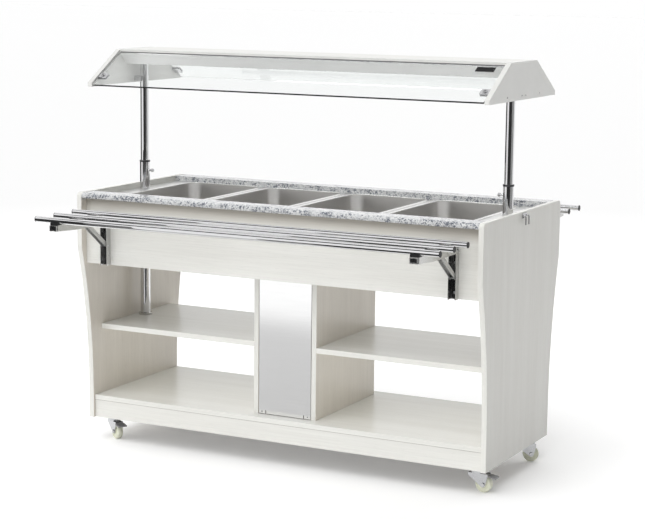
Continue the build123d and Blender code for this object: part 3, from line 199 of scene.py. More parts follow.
def painted_side_shade(shader):
    """Painted shade on an upright board's broad faces: a warm painted shade inside the counter and
    a grey painted shade on the outer faces.
    """
    broad = shader.above(shader.math("ABSOLUTE", shader.axes("Normal")[X]), 0.5)
    within = shader.below(shader.from_middle(X), SIDE_MIDDLE)
    inside = shader.times(within, shader.below(shader.from_middle(Z), BAY_TOP), broad)
    outside = shader.times(broad, shader.math("SUBTRACT", 1.0, inside))
    tone = shader.mix(inside, (1.0, 1.0, 1.0), (1.0, 0.945, 0.895))
    return shader.mix(outside, tone, (0.89, 0.885, 0.88))


def oak(name, grain, under_stone=None, seam=None, painted_brightening=1.0):
    """Bleached oak decor: a broad pale figure, fine grain lines and short pores.

    A board that ends at the height under_stone has a painted shadow, darker and warmer, in a strip
    below it, and at the height seam a board shows a thin painted shadow line. A
    painted_brightening over one paints the whole board brighter, as painted light.
    """
    shader = Shader(name, (0.83, 0.825, 0.785), 0.20)
    figure = shader.noise(along(grain, 0.9, 0.05), 4.0, 0.5)
    lines = shader.noise(along(grain, 0.16, 0.0035), 2.0)
    pores = shader.noise(along(grain, 0.035, 0.0011), 1.0)
    # painted light: painted_brightening raises the whole board's colour
    dark, pale = tinted((0.815, 0.809, 0.766), painted_brightening), tinted((0.862, 0.860, 0.820), painted_brightening)
    base = shader.ramp(figure, (0.3, dark), (0.7, pale))
    streaks = shader.ramp(lines, (0.34, 0.96), (0.62, 1.0))
    specks = shader.ramp(pores, (0.27, 0.91), (0.36, 1.0))
    board = shader.multiply(base, streaks, specks)
    # upright boards get their painted shade
    if grain == Z:
        board = shader.multiply(board, painted_side_shade(shader))
    # painted shadow: a darker, warmer strip under the stone
    if under_stone:
        depth = shader.math("DIVIDE", shader.from_middle(Z, under_stone), PAINTED_SHADOW_DEPTH)
        strip = (0.2, (0.52, 0.49, 0.455)), (0.48, (0.74, 0.715, 0.685)), (0.9, 1.0)
        board = shader.multiply(board, shader.ramp(depth, *strip))
    # painted shadow: a thin dark line along the seam
    if seam:
        line = shader.below(shader.from_middle(Z, seam), SEAM_HALF)
        board = shader.mix(line, board, (0.56, 0.54, 0.51))
    shader.set("Base Color", board)
    shader.set("Roughness", shader.ramp(lines, (0.3, 0.27), (0.7, 0.23)))
    shader.bump(specks, 0.00005)
    return shader.material


def softwood():
    """Planed softwood with darker late-wood lines, painted dark as shade in the centre box."""
    shader = Shader("planed_softwood", (0.58, 0.54, 0.47), 0.6)
    rings = shader.noise(along(X, 0.8, 0.009), 2.0, 0.4)
    planed = shader.ramp(rings, (0.35, (0.50, 0.46, 0.395)), (0.6, (0.66, 0.62, 0.55)))
    # painted shade: the battens in the centre box are dark
    boxed_shade = shader.ramp(rings, (0.35, (0.16, 0.145, 0.13)), (0.6, (0.24, 0.22, 0.20)))
    boxed = shader.below(shader.from_middle(X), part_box("partitions")[1].x)
    shader.set("Base Color", shader.mix(boxed, planed, boxed_shade))
    shader.bump(rings, 0.0001)
    return shader.material


def granite():
    """Polished granite: pale feldspar with clumps of blue-grey mica grains."""
    shader = Shader("granite", (0.6, 0.6, 0.6), 0.14, Coat_Weight=0.10, Coat_Roughness=0.05)
    clumps = shader.noise(170.0, 3.0, 1.1)
    veins = shader.noise(34.0, 2.0, 0.6)
    feldspar = (0.0, (0.50, 0.515, 0.54)), (0.45, (0.68, 0.685, 0.69)), (1.0, (0.82, 0.82, 0.81))
    mica = (0.0, (0.035, 0.04, 0.055)), (0.5, (0.13, 0.145, 0.18)), (1.0, (0.34, 0.36, 0.40))
    pale = shader.ramp(shader.cells(260.0), *feldspar)
    dark = shader.ramp(shader.cells(560.0), *mica)
    drift = shader.mix(0.32, clumps, veins)
    mask = shader.ramp(drift, (0.508, 0.0), (0.556, 1.0))
    shader.set("Base Color", shader.mix(mask, pale, dark))
    shader.set("Roughness", shader.ramp(mask, (0.0, 0.11), (1.0, 0.20)))
    return shader.material


def brushed_shader(name, axis, color, roughness):
    """Steel brushed along one axis, with fine scratches and faint clouding, and its tone."""
    shader = Shader(name, color, roughness, Metallic=1.0)
    scratches = shader.noise(along(axis, 0.08, 0.0006), 2.0)
    clouds = shader.noise(along(axis, 0.5, 0.16), 2.0)
    tone = shader.ramp(scratches, (0.3, tinted(color, 0.95)), (0.7, tinted(color, 1.03)))
    shader.set("Base Color", tone)
    satin = shader.ramp(clouds, (0.3, roughness - 0.02), (0.7, roughness + 0.03))
    shader.set("Roughness", satin)
    shader.bump(scratches, 0.00001, 0.4)
    return shader, tone


def brushed(name, axis, color, roughness=0.30):
    shader, _ = brushed_shader(name, axis, color, roughness)
    return shader.material


def pressed(name, color, roughness):
    """Deep-drawn pan steel with painted highlights: a brighter, glossier rolled rim and brighter,
    rougher rounded corners.
    """
    shader, drawn = brushed_shader(name, Y, color, roughness)
    rim = shader.above(shader.from_middle(Z), RIM_LEVEL)
    normal = shader.axes("Normal")
    corner = shader.math("ABSOLUTE", shader.times(normal[X], normal[Y]))
    limits = {"Value": corner, "From Min": 0.02, "From Max": 0.48}
    smooth = shader.add("MapRange", limits, interpolation_type="SMOOTHSTEP")
    corner_highlight = smooth.outputs["Result"]
    # painted highlights: brighter colour in the rounded corners and on the rim
    walls = shader.mix(corner_highlight, drawn, (0.98, 0.97, 0.96))
    shader.set("Base Color", shader.mix(rim, walls, (0.86, 0.86, 0.85)))
    satin = shader.span(corner_highlight, roughness, 0.62)
    shader.set("Roughness", shader.span(rim, satin, 0.18))
    return shader.material


def polished(name, color, roughness=0.05):
    """Plated metal, almost a mirror, with faint wipe marks."""
    shader = Shader(name, color, roughness, Metallic=1.0)
    marks = shader.noise(9.0, 2.0)
    shader.set("Roughness", shader.ramp(marks, (0.35, roughness), (0.75, roughness + 0.02)))
    return shader.material


def channel(name, half, hollow_shade_tones, gloss):
    """Bright steel with painted shade in a band along the middle of a bracket, the hollow of a
    channel's web.
    """
    bright = (0.62, 0.62, 0.61)
    shader = Shader(name, bright, 0.22, Metallic=1.0)
    scuffs = shader.noise((60.0, 60.0, 14.0), 3.0)
    # painted shade: the hollow band gets the darker tones
    hollow = shader.below(shader.from_middle(X, BRACKET_X), half)
    dark, pale = hollow_shade_tones
    dull = shader.ramp(scuffs, (0.35, dark), (0.75, pale))
    shader.set("Base Color", shader.mix(hollow, bright, dull))
    shader.set("Roughness", shader.ramp(scuffs, (0.35, gloss), (0.75, gloss + 0.12)))
    return shader.material


def plated(name, color, roughness=0.34):
    """Zinc plate: a faint spangle in colour and gloss."""
    shader = Shader(name, color, roughness, Metallic=1.0)
    spangle = shader.cells(320.0)
    tone = shader.ramp(spangle, (0.0, tinted(color, 0.86)), (1.0, tinted(color, 1.08)))
    shader.set("Base Color", tone)
    gloss = shader.ramp(spangle, (0.0, roughness - 0.06), (1.0, roughness + 0.08))
    shader.set("Roughness", gloss)
    return shader.material


def moulded(name, color, roughness=0.42, texture=0.00003, **sockets):
    """Moulded plastic with a fine spark-eroded texture."""
    shader = Shader(name, color, roughness, **sockets)
    grain = shader.noise(2200.0, 2.0)
    drift = shader.noise(35.0, 3.0)
    tone = shader.ramp(drift, (0.3, tinted(color, 0.92)), (0.7, tinted(color, 1.06)))
    shader.set("Base Color", tone)
    gloss = shader.ramp(grain, (0.3, roughness - 0.05), (0.7, roughness + 0.05))
    shader.set("Roughness", gloss)
    shader.bump(grain, texture, 0.6)
    return shader.material


def collars():
    """Dark plastic at the sleeves' tops and plated rings at their feet."""
    shader = Shader("sleeve_collar", (0.035, 0.035, 0.038), 0.34)
    speckle = shader.noise(700.0, 2.0)
    ring = shader.below(shader.from_middle(Z), RING_TOP)
    plastic = shader.ramp(speckle, (0.3, (0.030, 0.030, 0.033)), (0.7, (0.042, 0.042, 0.045)))
    shader.set("Base Color", shader.mix(ring, plastic, (0.60, 0.59, 0.57)))
    shader.set("Metallic", ring)
    shader.set("Roughness", shader.span(ring, 0.36, 0.24))
    return shader.material


def tray_plastic():
    """Black plastic of caps and saddles, and the arm ends' steel lips round their plugs."""
    shader = Shader("tray_plastic", (0.022, 0.022, 0.023), 0.40, Specular_IOR_Level=0.16)
    grain = shader.noise(900.0, 2.0)
    height = shader.from_middle(Z)
    beyond = shader.above(shader.from_middle(Y), -ARM_LOW.y)
    under = shader.below(height, ARM_HIGH.z)
    wide = shader.above(shader.from_middle(X, BRACKET_X), PLUG_HALF)
    ends = shader.math("MAXIMUM", shader.below(height, PLUG_FOOT), shader.above(height, PLUG_HEAD))
    lip = shader.times(shader.math("MAXIMUM", wide, ends), beyond, under)
    plastic = shader.ramp(grain, (0.3, (0.019, 0.019, 0.020)), (0.7, (0.026, 0.026, 0.027)))
    shader.set("Base Color", shader.mix(lip, plastic, (0.80, 0.80, 0.79)))
    shader.set("Metallic", lip)
    shader.set("Roughness", shader.span(lip, 0.40, 0.38))
    return shader.material


def laminate(name, roughness):
    """White laminate with the slight ripple of a pressed sheet."""
    shader = Shader(name, (0.78, 0.78, 0.755), roughness)
    ripple = shader.noise(14.0, 2.0)
    tone = shader.ramp(ripple, (0.3, (0.77, 0.771, 0.745)), (0.7, (0.80, 0.80, 0.775)))
    shader.set("Base Color", tone)
    shader.bump(ripple, 0.0002, 0.3)
    return shader.material


def enamel():
    """White painted sheet with a fine orange-peel."""
    shader = Shader("white_enamel", (0.90, 0.90, 0.89), 0.30)
    peel = shader.noise(420.0, 2.0)
    drift = shader.noise(8.0, 2.0)
    tone = shader.ramp(drift, (0.3, (0.89, 0.89, 0.88)), (0.7, (0.91, 0.91, 0.90)))
    shader.set("Base Color", tone)
    shader.bump(peel, 0.00004, 0.5)
    return shader.material


def clear_glass():
    """Clear float glass with a trace of green, faintly wiped."""
    green = (0.935, 0.950, 0.945)
    shader = Shader("clear_glass", green, 0.0, Transmission_Weight=1.0, IOR=1.46)
    wipes = shader.noise((5.0, 40.0, 40.0), 3.0)
    shader.set("Roughness", shader.ramp(wipes, (0.45, 0.0), (0.9, 0.03)))
    return shader.material


def quartz():
    """Frosted quartz tube and pale ceramic."""
    shader = Shader("quartz", (0.88, 0.85, 0.78), 0.28, Subsurface_Weight=0.15)
    frost = shader.noise(160.0, 3.0)
    tone = shader.ramp(frost, (0.3, (0.84, 0.80, 0.72)), (0.7, (0.92, 0.89, 0.83)))
    shader.set("Base Color", tone)
    shader.bump(frost, 0.00005, 0.4)
    return shader.material


def lens(name, color):
    """Tinted clear plastic with ribs inside."""
    shader = Shader(name, color, 0.12, Transmission_Weight=0.35, IOR=1.49)
    ribs = shader.noise((500.0, 500.0, 90.0), 1.0)
    tone = shader.ramp(ribs, (0.4, tinted(color, 0.75)), (0.6, tinted(color, 1.1)))
    shader.set("Base Color", tone)
    return shader.material


# the shelves' oak_lengthwise is painted 7 percent brighter, as painted light
OAK_X, OAK_Z = oak("oak_lengthwise", X, painted_brightening=1.07), oak("oak_upright", Z)
OAK_BASE = oak("oak_base", X, seam=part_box("fascias")[1].z)
OAK_APRON = oak("oak_apron", X, under_stone=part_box("aprons")[1].z)
STAINLESS = brushed("stainless", X, (0.76, 0.76, 0.75))
STAINLESS_PANEL = brushed("stainless_panel", X, (0.92, 0.92, 0.92), 0.11)
STAINLESS_PAN = brushed("stainless_pan", Y, (0.68, 0.67, 0.66), 0.34)
BRACKET = polished("bright_steel", (0.56, 0.56, 0.55), 0.26)
SATIN = polished("satin_chrome", (0.58, 0.58, 0.59), 0.20)
HOOK = polished("hook_chrome", (0.52, 0.52, 0.53), 0.14)
CHROME = polished("chrome", (0.76, 0.76, 0.77))
BEAD = polished("rolled_bead", (0.90, 0.90, 0.89), 0.20)
TUBE = polished("tube_chrome", (0.78, 0.78, 0.79))
ZINC = plated("zinc_plate", (0.70, 0.71, 0.72), 0.24)
FORK = plated("bright_zinc", (0.55, 0.555, 0.57), 0.16)
BRASS = polished("brass", (0.66, 0.50, 0.24), 0.22)
SHEATH = plated("element_sheath", (0.20, 0.19, 0.18), 0.5)
BLACK = moulded("black_plastic", (0.022, 0.022, 0.023))
ROCKER = moulded("gloss_black", (0.018, 0.018, 0.018), 0.16, 0.00001)
PEDAL = moulded("pedal_grey", (0.24, 0.24, 0.25), 0.16, 0.00001)
NYLON = moulded("cream_nylon", (0.82, 0.83, 0.68), 0.38)
RUBBER = moulded("seal_rubber", (0.20, 0.20, 0.20), 0.6)
PLATE = moulded("plate_black", (0.012, 0.012, 0.013), 0.6, Specular_IOR_Level=0.15)
PRINT = moulded("white_print", (0.75, 0.75, 0.74), 0.5)
WHITE, MATT_WHITE = laminate("white_laminate", 0.20), laminate("matt_laminate", 0.55)
ENAMEL, GLASS, QUARTZ = enamel(), clear_glass(), quartz()
AMBER = lens("amber_lens", (0.78, 0.30, 0.05))

# Materials and roundings by the beginnings of the nodes' names

FINISHES = {
    "side_panel_left": OAK_Z,
    "side_panel_right": OAK_Z,
    "partitions": OAK_Z,
    "bottom_deck": OAK_BASE,
    "fascias": OAK_BASE,
    "shelves": OAK_X,
    "aprons": OAK_APRON,
    "carcass_battens": softwood(),
    "granite_rails": granite(),
    "access_panel_front": STAINLESS_PANEL,
    "control_panel_rear": STAINLESS_PANEL,
    "steel_deck": STAINLESS,
    "bain_marie_tank": STAINLESS,
    "divider_bars": STAINLESS_PAN,
    "heating_element": SHEATH,
    "drain_valve": BRASS,
    "drain_lever": ZINC,
    "cable_gland": BLACK,
    "pilot_lamp": AMBER,
    "control_gear": BLACK,
    "thermostat_knob": BLACK,
    "heat_switch": ROCKER,
    "lamp_switch": ROCKER,
    "post_sleeves": CHROME,
    "sleeve_collars": collars(),
    "canopy_posts": CHROME,
    "clamp_knob_left": HOOK,
    "clamp_knob_right": HOOK,
    "canopy_ends": WHITE,
    "canopy_top": MATT_WHITE,
    "lamp_housing": ENAMEL,
    "heat_lamps": QUARTZ,
    "glass_panes": GLASS,
    "canopy_fittings": SATIN,
    "bracket_rails": channel("channel_steel", 0.0108, (0.13, 0.40), 0.20),
    "bracket_pins": ZINC,
    "side_hooks": HOOK,
    "caster_plates": ZINC,
    "tray_arms": BRACKET,
    "tray_tubes": TUBE,
    "tray_caps": tray_plastic(),
    # the struts' dark middle band is painted shade
    "tray_struts": channel("strut_steel", 0.0045, (0.45, 0.70), 0.44),
    "gn_pan": pressed("pan_steel", (0.68, 0.67, 0.655), 0.31),
    "caster_fork": FORK,
    "caster_wheel": NYLON,
    "brake_pedal": PEDAL,
}
ROUNDED = {
    "side_panel": 0.0008,
    "bottom_deck": 0.0012,
    "fascias": 0.0012,
    "shelves": 0.0008,
    "aprons": 0.0006,
    "partitions": 0.0008,
    "canopy_ends": 0.0010,
    "canopy_top": 0.0008,
    "carcass_battens": 0.0010,
    "tray_caps": 0.0006,
    "glass_panes": 0.0006,
    "caster_wheel": 0.0008,
    "brake_pedal": 0.0006,
    "thermostat_knob": 0.0006,
    "clamp_knob": 0.0006,
    "canopy_fittings": 0.0006,
    "heat_lamps": 0.0005,
}
WELD_GAP = 0.00001
SHARP = math.radians(50)


def named(table, node):
    """The entry of the longest name that a node's name begins with."""
    keys = [key for key in table if node.startswith(key)]
    return table[max(keys, key=len)] if keys else None


def dress_nodes():
    """Gives each node its material, and its sharp edges a small rounding."""
    for name, node in nodes.items():
        node.data.materials.clear()
        node.data.materials.append(named(FINISHES, name))
        radius = named(ROUNDED, name)
        if radius:
            weld = node.modifiers.new("weld", "WELD")
            weld.merge_threshold = WELD_GAP
            bevel = node.modifiers.new("round", "BEVEL")
            bevel.width, bevel.segments = radius, 2
            bevel.limit_method, bevel.angle_limit = "ANGLE", SHARP
            bevel.harden_normals = True
    nodes["glass_panes"].visible_shadow = False


# New pieces

SMALL_SCREW, HOOK_SCREW, WALL_SCREW = 0.0030, 0.0036, 0.0042  # radii of the heads


def turned(x, y, z):
    """A turn to three axes."""
    return Matrix((x, y, z)).transposed().to_4x4()


def facing(origin, normal):
    """A matrix at a point with its Z axis along a normal."""
    z = Vector(normal).normalized()
    x = UP.cross(z)
    x = x.normalized() if x.length > 0.001 else Vector((1, 0, 0))
    return Matrix.Translation(origin) @ turned(x, z.cross(x), z)


def raised(matrix, height):
    return matrix @ Matrix.Translation((0, 0, height))


def link(thing):
    bpy.context.scene.collection.objects.link(thing)


def finish_piece(name, bm, materials, body, smooth=True):
    """Makes an object of a mesh and puts it on its body."""
    mesh = bpy.data.meshes.new(name)
    bmesh.ops.recalc_face_normals(bm, faces=bm.faces)
    bm.to_mesh(mesh)
    bm.free()
    for material in materials:
        mesh.materials.append(material)
    for polygon in mesh.polygons:
        polygon.use_smooth = smooth
    piece = bpy.data.objects.new(name, mesh)
    link(piece)
    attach(piece, body)


def lathe(bm, profile, matrix, steps=24):
    """Turns a profile of radius and height about the matrix's Z axis."""
    turns = [2 * math.pi * i / steps for i in range(steps)]
    rings = []
    for radius, height in profile:
        points = [(radius * math.cos(t), radius * math.sin(t), height) for t in turns]
        if radius == 0:
            points = [(0, 0, height)]
        rings.append([bm.verts.new(matrix @ Vector(point)) for point in points])
    for low, high in zip(rings, rings[1:]):
        for i in range(steps):
            corners = (low, i), (low, i + 1), (high, i + 1), (high, i)
            verts = [ring[k % len(ring)] for ring, k in corners]
            bm.faces.new(list(dict.fromkeys(verts)))


def bar(bm, size, matrix, bevel, index=0):
    """A block with rounded edges."""
    made = bmesh.ops.create_cube(bm, size=1.0, matrix=matrix @ Matrix.Diagonal((*size, 1.0)))
    for face in {face for vert in made["verts"] for face in vert.link_faces}:
        face.material_index = index
    edges = list({edge for vert in made["verts"] for edge in vert.link_edges})
    bmesh.ops.bevel(bm, geom=edges, offset=bevel, segments=2, affect="EDGES", profile=0.6)


def loop_tube(bm, path, radius, steps=10):
    """A round bead along a closed level path."""
    turns = [2 * math.pi * i / steps for i in range(steps)]
    rings = []
    for i, point in enumerate(path):
        way = path[(i + 1) % len(path)] - path[i - 1]
        across = Vector((way.y, -way.x, 0)).normalized()
        offsets = [across * math.cos(t) + UP * math.sin(t) for t in turns]
        rings.append([bm.verts.new(point + offset * radius) for offset in offsets])
    for i, ring in enumerate(rings):
        other = rings[(i + 1) % len(rings)]
        for k in range(steps):
            after = (k + 1) % steps
            bm.faces.new((ring[k], ring[after], other[after], other[k]))


def screw_head(bm, matrix, radius):
    """A domed head with a cross recess, its floor in the second material."""
    height = radius * 0.62
    slot = 0.16 * radius
    dome = ((1, -0.2), (1, 0.25), (0.86, 0.62), (0.62, 0.86), (0.3, 0.97), (0, 1))
    lathe(bm, [(radius * r, height * h) for r, h in dome], matrix)
    for size in ((1.1 * radius, slot, height * 0.2), (slot, 1.1 * radius, height * 0.2)):
        bar(bm, size, raised(matrix, height * 0.9), slot * 0.2, 1)


def screws(name, places, radius, body, finish=ZINC):
    """One piece of like screws at places of (point, normal)."""
    bm = bmesh.new()
    for point, normal in places:
        screw_head(bm, facing(point, normal), radius)
    finish_piece(name, bm, [finish, BLACK], body)


def joint(name):
    """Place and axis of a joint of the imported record."""
    found = next(j for j in frame["record"]["behaviour"]["joints"] if j["name"] == name)
    return Vector(found["pos_m"]), Vector(found["axis"])


def add_panel_screws():
    """Screws in the corners of the front and the rear panel."""
    inset, over_foot, under_head = 0.0120, 0.0070, 0.0085
    for node, outward in (("access_panel_front", -1), ("control_panel_rear", 1)):
        low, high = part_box(node)
        face = high.y if outward > 0 else low.y
        places = [
            (Vector((side * (high.x - inset), face, z)), (0, outward, 0))
            for side in SIDES
            for z in (low.z + over_foot, high.z - under_head)
        ]
        screws(f"{node}_screws", places, SMALL_SCREW, "counter")


def on_pane(x, rise, lift, side=-1):
    """A matrix on the front pane, or the rear one: Z out of the glass, Y up the slope."""
    low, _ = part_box("glass_panes")
    run, climb = math.cos(GLASS_SLOPE), math.sin(GLASS_SLOPE)
    edge = Vector((x, -side * low.y, low.z + GLASS_THICK * run))
    up = Vector((0, -side * run, climb))
    out = Vector((0, side * climb, run))
    return Matrix.Translation(edge + up * rise + out * lift) @ turned(up.cross(out), up, out)


def add_canopy_screws():
    """Screws of the canopy's ends, and the hollow ones of the glass clips."""
    low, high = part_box("canopy_ends")
    level = low.z + 0.014
    places = [
        (Vector((side * high.x, y, level)), (side, 0, 0))
        for side in SIDES
        for y in (-0.146, -0.017, 0.017, 0.146)
    ]
    screws("canopy_end_screws", places, SMALL_SCREW, "canopy", HOOK)

    clip_x, clip_rise, clip_plate = 0.7225, 0.054, 0.004
    rim = [(0.0085, -0.0005), (0.0085, 0.0016), (0.0078, 0.0030), (0.0062, 0.0040)]
    hollow = [(0.0050, 0.0043), (0.0046, 0.0036), (0.0042, 0.0008), (0, 0.0006)]
    hollow_floor = (0.0072, 0.0072, 0.0004)
    bm = bmesh.new()
    for end in SIDES:
        for side in SIDES:
            stand = on_pane(end * clip_x, clip_rise, clip_plate, side)
            lathe(bm, rim + hollow, stand)
            bar(bm, hollow_floor, raised(stand, 0.0009), 0.0001, 1)
    finish_piece("glass_clip_screws", bm, [HOOK, BLACK], "canopy")


def add_nameplate():
    """A bare plate on the front pane, with a dull field in its rim."""
    plate_x, plate_rise = 0.677, 0.1805
    rim, field = (0.066, 0.026, 0.0012), (0.060, 0.020, 0.0006)
    stand = on_pane(plate_x, plate_rise, 0.0)
    bm = bmesh.new()
    bar(bm, rim, raised(stand, 0.0006), 0.0005)
    bar(bm, field, raised(stand, 0.0013), 0.0002, 1)
    finish_piece("blank_nameplate", bm, [ROCKER, PLATE], "canopy", False)


def add_glass_seals():
    """Strips of rubber at the canopy's top board and on the panes' upper edges."""
    pane_low, pane_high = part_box("glass_panes")
    board_low, board_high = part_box("canopy_top")
    length = pane_high.x - pane_low.x
    board_strip, pane_strip = (length, 0.0016, 0.0050), (length - 0.002, 0.0050, 0.0012)
    pane_rise, rounding = 0.2080, 0.0004
    bm = bmesh.new()
    for side in SIDES:
        middle = Vector((0, side * (board_high.y + 0.0009), board_low.z + 0.0030))
        bar(bm, board_strip, Matrix.Translation(middle), rounding)
        bar(bm, pane_strip, on_pane(0.0, pane_rise, 0.0006, side), rounding)
    finish_piece("glass_top_seals", bm, [RUBBER], "canopy", False)


def add_pan_beads():
    """Rolled beads round the mouths of the pans."""
    corner, inset, drop, radius = 0.0434, (0.0101, 0.0126), 0.0004, 0.0017
    corner_steps = 8
    for i in range(1, 5):
        low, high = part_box(f"gn_pan_{i}")
        middle = (low + high) / 2
        reach = [(high[k] - low[k]) / 2 - inset[k] - corner for k in (X, Y)]
        path = []
        for quarter, (x, y) in enumerate(((1, 1), (-1, 1), (-1, -1), (1, -1))):
            centre = Vector((middle.x + x * reach[X], middle.y + y * reach[Y], high.z - drop))
            for step in range(corner_steps + 1):
                turn = math.radians(90 * (quarter + step / corner_steps))
                path.append(centre + Vector((math.cos(turn), math.sin(turn), 0)) * corner)
        bm = bmesh.new()
        loop_tube(bm, path, radius)
        finish_piece(f"gn_pan_bead_{i}", bm, [BEAD], f"gn_pan_{i}")


def add_wall_screws():
    """Screws of the tray rails, the side hooks and the caster plates."""
    low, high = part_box("aprons")
    web = 0.002
    places = [
        (Vector((end * BRACKET_X, side * (high.y + web), z)), (0, side, 0))
        for end in SIDES
        for side in SIDES
        for z in (low.z + 0.022, low.z + 0.118)
    ]
    screws("tray_rail_screws", places, WALL_SCREW, "counter")

    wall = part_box("side_panel_right")[1].x + web
    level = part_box("side_hooks")[1].z - 0.008
    places = [(Vector((side * wall, 0, level)), (side, 0, 0)) for side in SIDES]
    screws("hook_screws", places, HOOK_SCREW, "counter", CHROME)

    plate_thick, hole_x, hole_y = 0.003, 0.0275, 0.0225
    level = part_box("caster_plates")[1].z - plate_thick
    places = []
    for face in ("front", "rear"):
        for end in ("left", "right"):
            middle, _ = joint(f"caster_{face}_{end}_swivel")
            for x in SIDES:
                for y in SIDES:
                    hole = Vector((middle.x + x * hole_x, middle.y + y * hole_y, level))
                    places.append((hole, (0, 0, -1)))
    screws("caster_plate_screws", places, WALL_SCREW, "counter")


def add_pedal_ribs():
    """Grip ribs across the brake pedals' treads."""
    fall = math.atan2(6.0, 36.0)
    rib, tread = (0.0022, 0.0290, 0.0014), 0.0020
    for end in ("left", "right"):
        pin, axle = joint(f"brake_{end}_press")
        ahead = Vector((axle.y, -axle.x, 0))
        out = (ahead * math.cos(fall) - UP * math.sin(fall)).normalized()
        over = axle.cross(out)
        if over.z < 0:
            over.negate()
        turn = turned(out, axle, out.cross(axle))
        bm = bmesh.new()
        for reach in (0.0145, 0.0195, 0.0245, 0.0295):
            bar(bm, rib, Matrix.Translation(pin + out * reach + over * tread) @ turn, 0.0004)
        finish_piece(f"brake_pedal_ribs_{end}", bm, [PEDAL], f"brake_pedal_{end}")


def add_thermostat_marks():
    """Pointer on the thermostat's knob and the scale round it."""
    pin, _ = joint("thermostat_turn")
    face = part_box("thermostat_knob")[1].y
    stroke, rise = (0.0016, 0.0005, 0.0110), 0.0075
    bm = bmesh.new()
    bar(bm, stroke, Matrix.Translation((pin.x, face, pin.z + rise)), 0.0002)
    finish_piece("thermostat_pointer", bm, [PRINT], "thermostat_knob", False)

    dial = Matrix.Translation((pin.x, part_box("control_panel_rear")[1].y, pin.z))
    step = math.radians(27)
    bm = bmesh.new()
    for i in range(11):
        turn = Matrix.Rotation(step * i, 4, "Y")
        reach, length = (0.0265, 0.0040) if i % 5 else (0.0275, 0.0060)
        bar(bm, (0.0011, 0.0003, length), raised(dial @ turn, reach), 0.0001)
    finish_piece("thermostat_scale", bm, [BLACK], "counter", False)


def add_rocker_marks():
    """A stroke on the upper half of each rocker switch and a ring on its lower half."""
    face, rise, lean = 0.0065, 0.00565, 0.1745
    stroke = (0.0010, 0.0003, 0.0048)
    ring = [(0.0016, -0.0001), (0.0016, 0.00015), (0.0025, 0.00015), (0.0025, -0.0001)]
    at_rest, outward = (Matrix.Rotation(math.radians(angle), 4, "X") for angle in (-10, -90))
    for name in ("heat_switch", "lamp_switch"):
        pin, _ = joint(f"{name}_rock")
        halves = []
        for half in (1, -1):
            middle = Matrix.Translation((0, face, half * rise))
            tilt = Matrix.Rotation(-half * lean, 4, "X")
            halves.append(Matrix.Translation(pin) @ at_rest @ middle @ tilt)
        upper, lower = halves
        bm = bmesh.new()
        bar(bm, stroke, upper, 0.0001)
        lathe(bm, ring, lower @ outward)
        finish_piece(f"{name}_marks", bm, [PRINT], name, False)


# Floor, light and camera

CARD_HEIGHT = 2.4
NEAR_DISTANCE = 0.80  # of the near cards, in front of the counter's middle
NEAR_CARDS = (
    # name, left, right, lower and upper edge, grey
    ("card_near_left", -1.04, -0.66, 0.20, 0.95, 0.02),
    ("card_near_left_edge", -0.66, -0.46, 0.60, 0.91, 0.22),
    ("card_near_right_edge", 0.02, 0.22, 0.62, 0.82, 0.30),
    ("card_near_right", 0.22, 1.10, 0.50, 0.82, 0.02),
)
SUN_WAY = (0.059, 0.337, -0.940)

# The photo's camera, fitted to the counter's edges

CAMERA_PLACE = (2.8979, -5.6186, 1.6953)
CAMERA_TURNS = (27.098, 9.091, 0.617)  # yaw, pitch and roll in degrees
FOCAL_PIXELS, PHOTO_PIXELS = 1822.2, 645.0
SENSOR = 36.0


def make_sheet(name, half):
    """A flat square sheet."""
    bm = bmesh.new()
    bmesh.ops.create_grid(bm, x_segments=1, y_segments=1, size=half)
    mesh = bpy.data.meshes.new(name)
    bm.to_mesh(mesh)
    bm.free()
    sheet = bpy.data.objects.new(name, mesh)
    link(sheet)
    return sheet


def make_floor():
    """White paper that keeps the object's shadow, greyer far off and lifted a little when seen."""
    floor = make_sheet("floor", 60.0)
    paper = Shader("floor_paper", (0.97, 0.97, 0.97), 0.9, Specular_IOR_Level=0.05)
    near = paper.ramp(paper.noise(3.0, 2.0), (0.3, 0.968), (0.7, 0.975))
    length = paper.add("VectorMath", {0: paper.place(1.0)}, operation="LENGTH")
    beyond = paper.math("SUBTRACT", length.outputs["Value"], 3.0)
    away = paper.span(paper.times(beyond, 0.25), 0.0, 1.0)
    paper.set("Base Color", paper.mix(away, near, (0.79, 0.79, 0.79)))
    paper.set("Emission Color", (1.0, 1.0, 1.0, 1.0))
    paper.set("Emission Strength", paper.times(paper.seen_directly(), 0.13))
    floor.data.materials.append(paper.material)


def card_cloth(name, grey):
    """Dull cloth that is clear to rays that no surface has reflected."""
    material = moulded(name, (grey,) * 3, 0.9)
    cloth = Tree(material)
    straight = cloth.below(cloth.add("LightPath").outputs["Glossy Depth"], 0.5)
    shown = cloth.tree.nodes["Principled BSDF"].outputs[0]
    clear = cloth.add("BsdfTransparent").outputs[0]
    mixed = cloth.add("MixShader", {0: straight, 1: shown, 2: clear}).outputs[0]
    cloth.feed(cloth.tree.nodes["Material Output"].inputs["Surface"], mixed)
    return material


def make_card(name, matrix, width, height, grey=0.02, flat=False):
    """A studio card that only reflections show, and an upright one also those behind the panes."""
    card = make_sheet(name, 0.5)
    card.matrix_world = matrix @ Matrix.Diagonal((width, height, 1.0, 1.0))
    card.data.materials.append(card_cloth(name + "_cloth", grey))
    for kind in ("camera", "diffuse", "volume_scatter", "shadow"):
        setattr(card, "visible_" + kind, False)
    card.visible_transmission = not flat


def standing(turn, distance, low, height):
    """Upright place round the object, facing it."""
    outward = Vector((math.sin(math.radians(turn)), -math.cos(math.radians(turn)), 0))
    return facing(outward * distance + UP * (low + height / 2), -outward)


